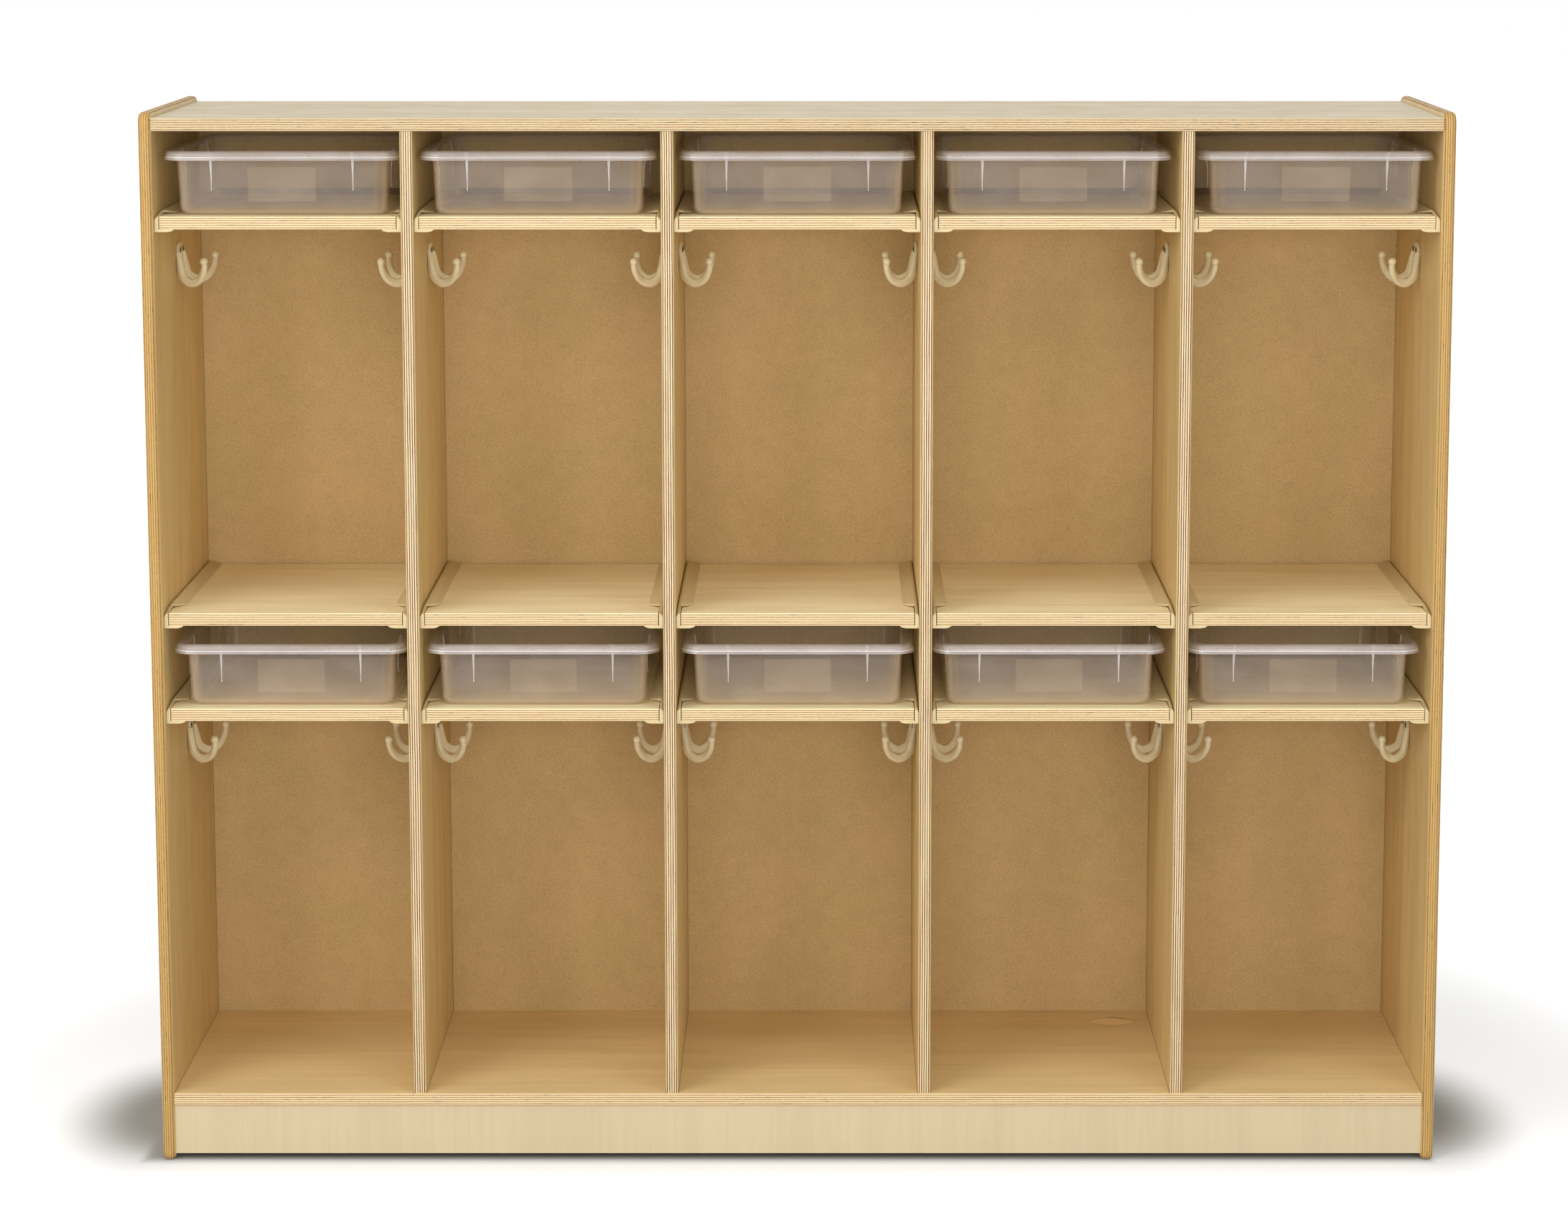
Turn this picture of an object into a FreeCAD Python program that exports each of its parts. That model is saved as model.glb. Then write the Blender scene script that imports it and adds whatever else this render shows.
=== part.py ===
import FreeCAD, Part
import math
import os

from FreeCAD import Matrix, Placement, Rotation, Vector

# Cubby storage unit. All lengths are in millimetres.
# X runs to the right, Y from the open front to the back, Z up from the floor.
# The origin is on the floor, in the middle of the footprint.

# Overall size and boards
unit_width = 1524.0
unit_depth = 381.0
board_thickness = 15.0
bay_count = 5

# Heights, from the floor up
toe_clearance = 8.0
toe_height = 60.0
coat_height = 452.5
tray_bay_height = 99.5
side_rise = 7.0

# How far each front edge stands behind the front plane
top_setback = 1.5
divider_setback = 4.0
toe_setback = 5.0
shelf_setback = 11.0
tray_setback = 14.0

# Back panel and the rabbets that hold it
back_thickness = 6.0
back_inset = 3.0
side_rabbet = 7.5
top_rabbet = 8.0
back_play = 0.5

# Rounded edges of the boards
side_arris = 6.0
side_top_corner = 14.0
side_bottom_corner = 8.0
divider_arris = 3.0
panel_arris = 1.5

# Shelves in their brackets
shelf_side_play = 1.0
shelf_back_play = 3.0

# Moulded C-shaped shelf brackets
bracket_web = 5.0
bracket_reach = 17.5
bracket_toe = 8.0
bracket_toe_edge = 0.6
lower_flange = 3.0
upper_flange = 2.6
upper_flange_rise = 2.4
upper_flange_play = 0.3
upper_flange_start = 35.0
upper_flange_stop = 10.0
upper_flange_corner = 5.0
bracket_nose = 12.0
bracket_shoulder = 2.5

# Double-arm coat hooks
hook_setback = 187.0
hook_gap = 29.0
hook_reach = 37.5
hook_spread = 46.0
hook_drop = 53.0
hook_arm_thickness = 10.5
hook_arm_width = 7.4
hook_ball = 9.6
hook_pad = 5.0
hook_pad_top_width = 23.0
hook_pad_width = 39.0
hook_pad_height = 36.0
hook_pad_arch = 9.0
hook_pad_round = 1.6
hook_screw_spacing = 22.0
hook_screw_drop = 9.0

# Paper trays
tray_side_play = 5.15
tray_back_play = 15.0
tray_head_play = 24.2
tray_seat = 0.3
tray_overhang = 14.2
tray_draft = 3.0
tray_wall = 2.0
tray_corner = 16.0
tray_floor_round = 9.0
rim_corner = 24.0
rim_lip = 11.0
rim_round = 4.5
rib_spacing = 165.0
side_rib_spacing = 190.0
rib_width = 3.2
rib_height = 2.2
rib_drop = 44.0
rib_tip = 0.8

# Dowels that join the boards
dowel_diameter = 8.0
dowel_length = 30.0
dowel_end_play = 0.5
dowel_play = 0.1

# Countersunk wood screws
screw_head = 7.0
screw_shank = 3.5
screw_head_height = 2.0
screw_tip = 3.0
screw_recess = 1.3
screw_recess_width = 1.0
screw_recess_span = 4.2
screw_play = 0.1
screw_sink = 0.1

# Places given as shares of the size that carries them
dowel_row_shares = (0.12, 0.5, 0.88)
rail_dowel_shares = (0.25, 0.75)
dowel_grip_share = 2 / 3
screw_bite_share = 0.4
round_limit_share = 0.45
toe_sag_share = 0.78
flange_tip_share = 0.7
pad_shoulder_share = 0.62
pad_foot_share = 0.86
pad_flank_share = 1.02
rib_gusset_share = 0.6
back_screw_shares = (0.06, 0.28, 0.5, 0.72, 0.94)
left_bracket_screw_shares = (0.15, 0.85)
right_bracket_screw_shares = (0.2, 0.8)
upper_tray_shift_shares = (0.73, 0.0, 0.0, -0.78, 0.0)
lower_tray_shift_shares = (0.58, 0.0, 0.0, -0.78, -0.9)

# The arm's middle line and section, from the pad to the ball. The shares are of
# the hook's reach, spread and drop, and of the arm's thickness and width.
arm_station_shares = (
    (0.115, 0.20, 0.170, 0.70, 0.97),
    (0.144, 0.315, 0.490, 0.72, 0.97),
    (0.213, 0.391, 0.726, 0.92, 1.0),
    (0.533, 0.565, 0.900, 1.0, 1.0),
    (0.860, 0.804, 0.783, 0.84, 0.95),
    (1.0, 0.957, 0.547, 0.63, 0.88),
    (1.0, 1.0, 0.396, 0.56, 0.80),
)

# Levels and planes that follow from the sizes above
front_y = -unit_depth / 2
rear_y = unit_depth / 2
back_face_y = rear_y - back_inset - back_thickness
bottom_z = toe_clearance + toe_height
floor_z = bottom_z + board_thickness
lower_tray_shelf_z = floor_z + coat_height
middle_shelf_z = lower_tray_shelf_z + board_thickness + tray_bay_height
upper_tray_shelf_z = middle_shelf_z + board_thickness + coat_height
top_z = upper_tray_shelf_z + board_thickness + tray_bay_height
side_height = top_z + board_thickness + side_rise
inner_x = unit_width / 2 - board_thickness
bay_width = (2 * inner_x - (bay_count - 1) * board_thickness) / bay_count
bay_pitch = bay_width + board_thickness

# Sizes of the pieces that fit in those planes
shelf_width = bay_width - 2 * (bracket_web + shelf_side_play)
shelf_depth = back_face_y - shelf_back_play - (front_y + shelf_setback)
tray_width = bay_width - 2 * tray_side_play
tray_depth = back_face_y - tray_back_play - (front_y + tray_setback)
tray_height = tray_bay_height - tray_head_play - tray_seat
screw_length = hook_pad + board_thickness * screw_bite_share

ALONG_X = Vector(1, 0, 0)
ALONG_Y = Vector(0, 1, 0)
ALONG_Z = Vector(0, 0, 1)


def flat(u, v):
    """Lay an outline's point in the floor's plane."""
    return Vector(u, v, 0)


def upright(u, v):
    """Stand an outline's point in the plane seen from the side."""
    return Vector(0, u, v)


def facing(u, v):
    """Stand an outline's point in the plane seen from the front."""
    return Vector(u, 0, v)


def block(low_x, high_x, low_y, high_y, low_z, high_z):
    """A plain box between two corners."""
    size = (high_x - low_x, high_y - low_y, high_z - low_z)
    return Part.makeBox(*size, Vector(low_x, low_y, low_z))


def rounded_wire(lay, low_u, low_v, high_u, high_v, radii):
    """A rectangle with a radius for each corner, from the low corner round."""
    corners = ((low_u, low_v, 1, 1), (high_u, low_v, -1, 1),
               (high_u, high_v, -1, -1), (low_u, high_v, 1, -1))
    slack = 1 - math.sqrt(0.5)
    starts, arcs, ends = [], [], []
    for place, (u, v, in_u, in_v) in enumerate(corners):
        radius = radii[place]
        across = (u + in_u * radius, v)
        along = (u, v + in_v * radius)
        middle = (u + in_u * radius * slack, v + in_v * radius * slack)
        first, last = (along, across) if place % 2 == 0 else (across, along)
        starts.append(lay(*first))
        ends.append(lay(*last))
        arcs.append(Part.Arc(lay(*first), lay(*middle), lay(*last)) if radius > 0 else None)
    edges = []
    for place in range(len(corners)):
        if arcs[place]:
            edges.append(arcs[place].toShape())
        following = (place + 1) % len(corners)
        edges.append(Part.makeLine(ends[place], starts[following]))
    return Part.Wire(edges)


def prism(wire, direction):
    """The solid that a closed outline sweeps along a straight line."""
    return Part.Face(wire).extrude(direction)


def turned(shape, place, direction):
    """Move a shape built down from the origin so that it points along a direction."""
    moved = shape.copy()
    moved.Placement = Placement(place, Rotation(ALONG_Z, direction * -1))
    return moved


def drilled(piece, bores):
    """Cut from a piece the bores that reach it."""
    near = [bore for bore in bores if piece.BoundBox.intersect(bore.BoundBox)]
    return piece.cut(near) if near else piece


def bay_left(bay):
    """X of the left wall of a bay."""
    return -inner_x + bay * bay_pitch


def bay_middle(bay):
    """X of the middle of a bay."""
    return bay_left(bay) + bay_width / 2


def shelf_levels():
    """The undersides of the three shelves in each bay, by the shelf's name."""
    return {
        "upper_tray_shelf": upper_tray_shelf_z,
        "middle_shelf": middle_shelf_z,
        "lower_tray_shelf": lower_tray_shelf_z,
    }


# Boards


def front_rounded_board(low_x, high_x, low_y, high_y, low_z):
    """A level board whose two front edges are eased."""
    radii = (panel_arris, 0, 0, panel_arris)
    outline = rounded_wire(upright, low_y, low_z, high_y, low_z + board_thickness, radii)
    board = prism(outline, ALONG_X * (high_x - low_x))
    board.translate(ALONG_X * low_x)
    return board


def side_panel(sign):
    """An outer side, rounded all round, with a rabbet inside its rear edge."""
    radii = (side_bottom_corner, side_bottom_corner, side_top_corner, side_top_corner)
    outline = rounded_wire(upright, front_y, 0, rear_y, side_height, radii)
    panel = prism(outline, ALONG_X * board_thickness)
    rims = [edge for edge in panel.Edges
            if edge.BoundBox.XLength < edge.BoundBox.DiagonalLength / 2]
    panel = panel.makeFillet(min(side_arris, board_thickness * round_limit_share), rims)
    panel.translate(ALONG_X * (inner_x if sign > 0 else -inner_x - board_thickness))
    rabbet_x = sorted((sign * inner_x, sign * (inner_x + side_rabbet)))
    rabbet_top = top_z + top_rabbet
    return panel.cut(block(*rabbet_x, back_face_y, rear_y + back_inset,
                           toe_clearance - back_play, rabbet_top))


def divider(place):
    """An upright between two bays."""
    low_x = bay_left(place) - board_thickness
    radii = (divider_arris, divider_arris, 0, 0)
    outline = rounded_wire(flat, low_x, front_y + divider_setback,
                           low_x + board_thickness, back_face_y, radii)
    upright_board = prism(outline, ALONG_Z * (top_z - floor_z))
    upright_board.translate(ALONG_Z * floor_z)
    return upright_board


def top_panel():
    """The top, with a rabbet under its rear edge."""
    board = front_rounded_board(-inner_x, inner_x, front_y + top_setback, rear_y, top_z)
    return board.cut(block(-inner_x, inner_x, back_face_y, rear_y, top_z, top_z + top_rabbet))


def bottom_panel():
    """The floor of the lower compartments."""
    return front_rounded_board(-inner_x, inner_x, front_y + top_setback, back_face_y, bottom_z)


def toe_rail(low_y):
    """A board on edge under the bottom panel."""
    return block(-inner_x, inner_x, low_y, low_y + board_thickness, toe_clearance, bottom_z)


def back_panel():
    """The thin hardboard back, loose in its rabbets."""
    half_width = inner_x + side_rabbet - back_play
    return block(-half_width, half_width, back_face_y, back_face_y + back_thickness,
                 toe_clearance, top_z + top_rabbet - back_play)


def shelf(bay, level):
    """A shelf that slides into the two brackets of its bay."""
    low_x = bay_middle(bay) - shelf_width / 2
    low_y = front_y + shelf_setback
    return front_rounded_board(low_x, low_x + shelf_width, low_y, low_y + shelf_depth, level)


# Shelf brackets


def bracket():
    """The left bracket of a shelf. X starts at the wall, Y at the front, Z under the shelf."""
    top = board_thickness + upper_flange_rise + upper_flange
    base = -lower_flange
    web_outline = rounded_wire(upright, 0, base, shelf_depth, top,
                               (0, 0, upper_flange_corner, bracket_nose))
    web = prism(web_outline, ALONG_X * bracket_web)
    shoulder = rounded_wire(facing, 0, base, bracket_web + bracket_reach, top,
                            (0, 0, 0, bracket_shoulder))
    web = web.common(prism(shoulder, ALONG_Y * shelf_depth))
    upper = upper_bracket_flange(top)
    return web.fuse([lower_bracket_flange(), upper]).removeSplitter()


def lower_bracket_flange():
    """The flange that carries the shelf, thinned towards its toe by an arc."""
    toe_start = bracket_reach - bracket_toe
    toe_middle = bracket_reach - bracket_toe / 2
    sag = lower_flange * toe_sag_share
    points = (facing(toe_start, -lower_flange), facing(toe_middle, -sag),
              facing(bracket_reach, -bracket_toe_edge))
    edges = [
        Part.makeLine(facing(0, 0), facing(0, -lower_flange)),
        Part.makeLine(facing(0, -lower_flange), points[0]),
        Part.Arc(*points).toShape(),
        Part.makeLine(points[2], facing(bracket_reach, 0)),
        Part.makeLine(facing(bracket_reach, 0), facing(0, 0)),
    ]
    return prism(Part.Wire(edges), ALONG_Y * shelf_depth)


def upper_bracket_flange(top):
    """The springy flange that slopes down on the shelf, short at both ends."""
    tip_low = board_thickness + upper_flange_play
    root_low = board_thickness + upper_flange_rise
    overlap = bracket_web / 2
    points = [
        facing(overlap, root_low),
        facing(bracket_web, root_low),
        facing(bracket_reach, tip_low),
        facing(bracket_reach, tip_low + upper_flange * flange_tip_share),
        facing(bracket_web, top),
        facing(overlap, top),
        facing(overlap, root_low),
    ]
    length = shelf_depth - upper_flange_start - upper_flange_stop
    flange = prism(Part.makePolygon(points), ALONG_Y * length)
    flange.translate(ALONG_Y * upper_flange_start)
    plan = rounded_wire(flat, 0, upper_flange_start, bracket_reach,
                        shelf_depth - upper_flange_stop,
                        (0, upper_flange_corner / 2, upper_flange_corner, 0))
    trim = prism(plan, ALONG_Z * (top + lower_flange))
    return flange.common(trim)


def bracket_places():
    """Where each left bracket and each right bracket stands, in pairs."""
    pairs = []
    for level in shelf_levels().values():
        for bay in range(bay_count):
            start = Vector(bay_left(bay), front_y + shelf_setback, level)
            pairs.append((start, start + ALONG_X * bay_width))
    return pairs


def mirrored(shape):
    """The same piece for the opposite wall."""
    return shape.mirror(Vector(), ALONG_X)


# Coat hooks


def hook_pad_solid():
    """The pad of a hook. X leaves the wall, Y is from its middle, Z from its top."""
    crown = hook_pad_top_width / 2
    half = hook_pad_width / 2
    shoulder_z = -hook_pad_height * pad_shoulder_share
    foot = half * pad_foot_share
    arch_z = hook_pad_arch - hook_pad_height
    flank = half * pad_flank_share, (shoulder_z - hook_pad_height) / 2
    edges = [
        Part.Arc(upright(-crown, -crown), upright(0, 0), upright(crown, -crown)).toShape(),
        Part.makeLine(upright(crown, -crown), upright(half, shoulder_z)),
        Part.Arc(upright(half, shoulder_z), upright(*flank),
                 upright(foot, -hook_pad_height)).toShape(),
        Part.Arc(upright(foot, -hook_pad_height), upright(0, arch_z),
                 upright(-foot, -hook_pad_height)).toShape(),
        Part.Arc(upright(-foot, -hook_pad_height), upright(-flank[0], flank[1]),
                 upright(-half, shoulder_z)).toShape(),
        Part.makeLine(upright(-half, shoulder_z), upright(-crown, -crown)),
    ]
    pad = prism(Part.Wire(edges), ALONG_X * hook_pad)
    rim = [edge for edge in pad.Edges if edge.BoundBox.XMin > hook_pad / 2]
    return pad.makeFillet(min(hook_pad_round, hook_pad * round_limit_share), rim)


def oval(middle, first, second, heading):
    """An oval about a middle, given by its two half axes, which a unit circle is drawn out to."""
    columns = (first, second, heading, middle)
    rows = [[column[axis] for column in columns] for axis in range(len(first))]
    stretch = Matrix(*rows[0], *rows[1], *rows[2], 0, 0, 0, 1)
    return Part.Wire([Part.makeCircle(1).transformGeometry(stretch).Edges[0]])


def hook_arm():
    """One arm, lofted through ovals along its middle line, with the ball at its tip."""
    middles = []
    for across, along, down, _, _ in arm_station_shares:
        middles.append(Vector(across * hook_reach, along * hook_spread, -down * hook_drop))
    path = Part.BSplineCurve()
    path.interpolate(middles)
    plan = Vector(hook_reach, hook_spread, 0).normalize()
    side = Vector(-plan.y, plan.x, 0)
    ovals = []
    for middle, (_, _, _, thick, wide) in zip(middles, arm_station_shares):
        heading = Vector(*path.tangent(path.parameter(middle))[0])
        out = heading.cross(side).normalize()
        flank = out.cross(heading).normalize()
        ovals.append(oval(middle, out * (thick * hook_arm_thickness / 2),
                          flank * (wide * hook_arm_width / 2), heading))
    arm = Part.makeLoft(ovals, True)
    return arm.fuse(Part.makeSphere(hook_ball / 2, middles[-1]))


def hook():
    """A left-hand hook: a pad against the wall and two arms that splay apart."""
    arm = hook_arm()
    twin = arm.mirror(Vector(), ALONG_Y)
    whole = hook_pad_solid().fuse([arm, twin])
    wall = block(-hook_reach, 0, -hook_spread * 2, hook_spread * 2, -hook_drop * 2, hook_drop)
    return whole.cut(wall)


def hook_places():
    """The top of each hook's pad on its wall, by the hook's name, and the wall's side."""
    places = []
    rows = (("upper", upper_tray_shelf_z), ("lower", lower_tray_shelf_z))
    for row, underside in rows:
        for bay in range(bay_count):
            start = Vector(bay_left(bay), front_y + hook_setback, underside - hook_gap)
            places.append((f"{row}_left_hook_{bay + 1}", start, 1))
            places.append((f"{row}_right_hook_{bay + 1}", start + ALONG_X * bay_width, -1))
    return places


# Trays


def tray_outline(inset, z, corner):
    """A level rounded outline of the tray, drawn in from the rim's edge on all sides."""
    half_width = tray_width / 2 - inset
    half_depth = tray_depth / 2 - inset
    wire = rounded_wire(flat, -half_width, -half_depth, half_width, half_depth, (corner,) * 4)
    wire.translate(ALONG_Z * z)
    return wire


def tray_body(inset, low_z, high_z, floor_round):
    """A tapered tub, solid, with its bottom edge rounded."""
    taper = tray_draft * (high_z - low_z) / tray_height
    narrow = tray_outline(inset + tray_draft, low_z, tray_corner - tray_draft / 2)
    wide = tray_outline(inset + tray_draft - taper, high_z, tray_corner)
    tub = Part.makeLoft([narrow, wide], True)
    around_floor = [edge for edge in tub.Edges if edge.BoundBox.ZMax < low_z + tray_wall / 2]
    return tub.makeFillet(floor_round, around_floor)


def tray_rim(inset, low_z, high_z, edge_round):
    """The block that the rim's rolled edge follows."""
    height = high_z - low_z
    solid = prism(tray_outline(inset, low_z, rim_corner - inset), ALONG_Z * height)
    upper = [edge for edge in solid.Edges if edge.BoundBox.ZMin > high_z - tray_wall / 2]
    return solid.makeFillet(edge_round, upper)


def tray_rib():
    """A rib on the front wall that hangs from the rim and thins to a rounded end."""
    wall_y = tray_overhang - tray_depth / 2
    lip_y = tray_wall / 2 - tray_depth / 2
    root_y = wall_y + tray_wall
    under_rim = tray_height - tray_wall / 2
    gusset_z = tray_height - rim_lip * rib_gusset_share
    drop_z = tray_height - tray_wall - rib_drop
    lean = tray_draft * (tray_height - drop_z) / tray_height
    points = [
        upright(root_y, under_rim),
        upright(lip_y, under_rim),
        upright(lip_y, gusset_z),
        upright(wall_y - rib_height, gusset_z - rib_height),
        upright(wall_y + lean - rib_tip, drop_z + rib_tip),
        upright(wall_y + lean, drop_z),
        upright(root_y + lean, drop_z),
        upright(root_y, under_rim),
    ]
    rib = prism(Part.makePolygon(points), ALONG_X * rib_width)
    rib.translate(ALONG_X * (-rib_width / 2))
    return rib


def tray():
    """A moulded tray about the middle of its own footprint, its floor at zero."""
    outer = tray_body(tray_overhang, 0, tray_height, tray_floor_round)
    inner = tray_body(tray_overhang + tray_wall, tray_wall, tray_height + tray_wall,
                      tray_floor_round - tray_wall)
    rim = tray_rim(0, tray_height - rim_lip, tray_height, rim_round)
    under_rim = tray_rim(tray_wall, tray_height - rim_lip - tray_wall, tray_height - tray_wall,
                         rim_round - tray_wall)
    ribs = []
    front_rib = tray_rib()
    for sign in (-1, 1):
        rib = front_rib.copy()
        rib.translate(ALONG_X * (sign * rib_spacing / 2))
        ribs.append(rib)
        ribs.append(rib.mirror(Vector(), ALONG_Y))
    ribs += side_ribs(front_rib)
    shell = rim.cut(under_rim).fuse([outer] + ribs)
    return shell.cut(inner).removeSplitter()


def side_ribs(front_rib):
    """The same rib on both side walls, where those walls stand."""
    ribs = []
    for sign in (-1, 1):
        rib = front_rib.copy()
        rib.translate(ALONG_Y * (tray_depth - tray_width) / 2)
        rib.rotate(Vector(), ALONG_Z, 90)
        rib.translate(ALONG_Y * (sign * side_rib_spacing / 2))
        ribs.append(rib)
        ribs.append(rib.mirror(Vector(), ALONG_X))
    return ribs


def tray_places():
    """Where each tray stands on its shelf, by the tray's name."""
    places = []
    middle_y = front_y + tray_setback + tray_depth / 2
    rows = (("upper_tray", upper_tray_shelf_z, upper_tray_shift_shares),
            ("lower_tray", lower_tray_shelf_z, lower_tray_shift_shares))
    for name, level, shift_shares in rows:
        for bay in range(bay_count):
            share = shift_shares[bay % len(shift_shares)]
            x = bay_middle(bay) + share * tray_side_play
            z = level + board_thickness + tray_seat
            places.append((f"{name}_{bay + 1}", Vector(x, middle_y, z)))
    return places


# Dowels


def dowel_pins():
    """Every dowel as its end in the board it is blind in, and its direction."""
    pins = []
    sink = dowel_length * (1 - dowel_grip_share)
    low_y = front_y + top_setback
    depth = back_face_y - low_y
    for sign in (-1, 1):
        end_x = sign * (inner_x + sink)
        inward = ALONG_X * -sign
        for share in dowel_row_shares:
            for level in (bottom_z, top_z):
                middle_z = level + board_thickness / 2
                pins.append((Vector(end_x, low_y + share * depth, middle_z), inward))
        for share in rail_dowel_shares:
            z = toe_clearance + share * toe_height
            for rail_y in (front_y + toe_setback, back_face_y - board_thickness):
                pins.append((Vector(end_x, rail_y + board_thickness / 2, z), inward))
    for place in range(1, bay_count):
        x = bay_left(place) - board_thickness / 2
        for share in dowel_row_shares:
            y = low_y + share * depth
            pins.append((Vector(x, y, floor_z - sink), ALONG_Z))
            pins.append((Vector(x, y, top_z + sink), ALONG_Z * -1))
    return pins


def dowels():
    """All the dowels, each a plain rod."""
    return [Part.makeCylinder(dowel_diameter / 2, dowel_length, start, way)
            for start, way in dowel_pins()]


def dowel_bores():
    """The holes for the dowels, a little wider and longer."""
    radius = dowel_diameter / 2 + dowel_play
    length = dowel_length + 2 * dowel_end_play
    return [Part.makeCylinder(radius, length, start - way * dowel_end_play, way)
            for start, way in dowel_pins()]


# Screws


def revolved(points):
    """The solid that a half outline makes about the Z axis."""
    outline = [facing(radius, z) for radius, z in points]
    face = Part.Face(Part.makePolygon(outline + outline[:1]))
    return face.revolve(Vector(), ALONG_Z, 360)


def screw():
    """A screw that points down, its head's face at zero, with a cross recess."""
    head = screw_head / 2
    shank = screw_shank / 2
    body = revolved(((0, 0), (head, 0), (shank, -screw_head_height),
                     (shank, screw_tip - screw_length), (0, -screw_length)))
    reach = screw_recess_span / 2
    half = screw_recess_width / 2
    slots = [block(-reach, reach, -half, half, -screw_recess, screw_recess),
             block(-half, half, -reach, reach, -screw_recess, screw_recess)]
    return body.cut(slots)


def screw_bore():
    """The pilot hole and countersink for a screw that points down from zero."""
    head = screw_head / 2 + screw_play
    shank = screw_shank / 2 + screw_play
    rise = screw_head_height
    foot = -screw_length - screw_sink - screw_play
    return revolved(((0, rise), (head, rise), (head, -screw_sink),
                     (shank, -screw_head_height - screw_sink), (shank, foot), (0, foot)))


def hook_screw_places():
    """The two screws of each hook, at the outer face of its pad."""
    places = []
    for _, start, sign in hook_places():
        for side in (-1, 1):
            offset = Vector(sign * hook_pad, side * hook_screw_spacing / 2, -hook_screw_drop)
            places.append((start + offset, ALONG_X * -sign))
    return places


def bracket_screw_places():
    """The two screws of each bracket, at the inner face of its web."""
    places = []
    for left, right in bracket_places():
        rows = ((left, 1, left_bracket_screw_shares), (right, -1, right_bracket_screw_shares))
        for start, sign, shares in rows:
            for share in shares:
                offset = Vector(sign * bracket_web, share * shelf_depth, board_thickness / 2)
                places.append((start + offset, ALONG_X * -sign))
    return places


def back_screw_places():
    """The screws through the back panel into every board behind which it lies."""
    outer_y = back_face_y + back_thickness
    side_x = inner_x + side_rabbet / 2
    columns = [-side_x, side_x]
    columns += [bay_left(place) - board_thickness / 2 for place in range(1, bay_count)]
    places = []
    for x in columns:
        for share in back_screw_shares:
            places.append(Vector(x, outer_y, floor_z + share * (top_z - floor_z)))
    for bay in range(bay_count):
        rows = (toe_clearance + toe_height / 2, bottom_z + board_thickness / 2,
                top_z + top_rabbet / 2)
        places += [Vector(bay_middle(bay), outer_y, z) for z in rows]
    return [(place, ALONG_Y * -1) for place in places]


def screw_places():
    """Every screw as the place of its head's face and the way that it points."""
    return hook_screw_places() + bracket_screw_places() + back_screw_places()


def screws():
    """All the screws, sunk a hair below the faces that they hold."""
    pattern = screw()
    return [turned(pattern, place + way * screw_sink, way) for place, way in screw_places()]


def screw_bores():
    """The holes for all the screws."""
    pattern = screw_bore()
    return [turned(pattern, place, way) for place, way in screw_places()]


# The assembly


def boards():
    """The cabinet's boards, by name."""
    pieces = {
        "left_side_panel": side_panel(-1),
        "right_side_panel": side_panel(1),
        "top_panel": top_panel(),
        "bottom_panel": bottom_panel(),
        "toe_board": toe_rail(front_y + toe_setback),
        "rear_rail": toe_rail(back_face_y - board_thickness),
        "back_panel": back_panel(),
    }
    for place in range(1, bay_count):
        pieces[f"divider_{place}"] = divider(place)
    return pieces


def hooks():
    """The hooks, by name."""
    left = hook()
    right = mirrored(left)
    pieces = {}
    for name, start, sign in hook_places():
        piece = (left if sign > 0 else right).copy()
        piece.translate(start)
        pieces[name] = piece
    return pieces


def brackets():
    """The left and the right brackets, each as a list."""
    left_pattern = bracket()
    right_pattern = mirrored(left_pattern)
    left, right = [], []
    for left_start, right_start in bracket_places():
        left.append(left_pattern.copy())
        left[-1].translate(left_start)
        right.append(right_pattern.copy())
        right[-1].translate(right_start)
    return left, right


def shelves():
    """The shelves, by name."""
    pieces = {}
    for name, level in shelf_levels().items():
        for bay in range(bay_count):
            pieces[f"{name}_{bay + 1}"] = shelf(bay, level)
    return pieces


def trays():
    """The trays, by name."""
    pattern = tray()
    pieces = {}
    for name, start in tray_places():
        pieces[name] = pattern.copy()
        pieces[name].translate(start)
    return pieces


def assemble():
    """Every node's shape, by name."""
    bores = dowel_bores() + screw_bores()
    nodes = {}
    for name, piece in {**boards(), **hooks()}.items():
        nodes[name] = drilled(piece, bores)
    left, right = brackets()
    nodes["left_shelf_brackets"] = Part.makeCompound([drilled(piece, bores) for piece in left])
    nodes["right_shelf_brackets"] = Part.makeCompound([drilled(piece, bores) for piece in right])
    nodes.update(shelves())
    nodes.update(trays())
    nodes["wood_screws"] = Part.makeCompound(screws())
    nodes["panel_dowels"] = Part.makeCompound(dowels())
    return nodes


def main():
    os.makedirs("parts", exist_ok=True)
    for name, shape in assemble().items():
        solids = shape.Solids
        print(name, len(solids), "solids", round(shape.Volume), "mm3", shape.isValid())
        shape.exportStep(f"parts/{name}.step")


main()
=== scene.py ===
import math

import bmesh
import bpy
from bpy.props import FloatProperty, FloatVectorProperty, IntProperty, PointerProperty
from mathutils import Matrix, Vector


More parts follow.
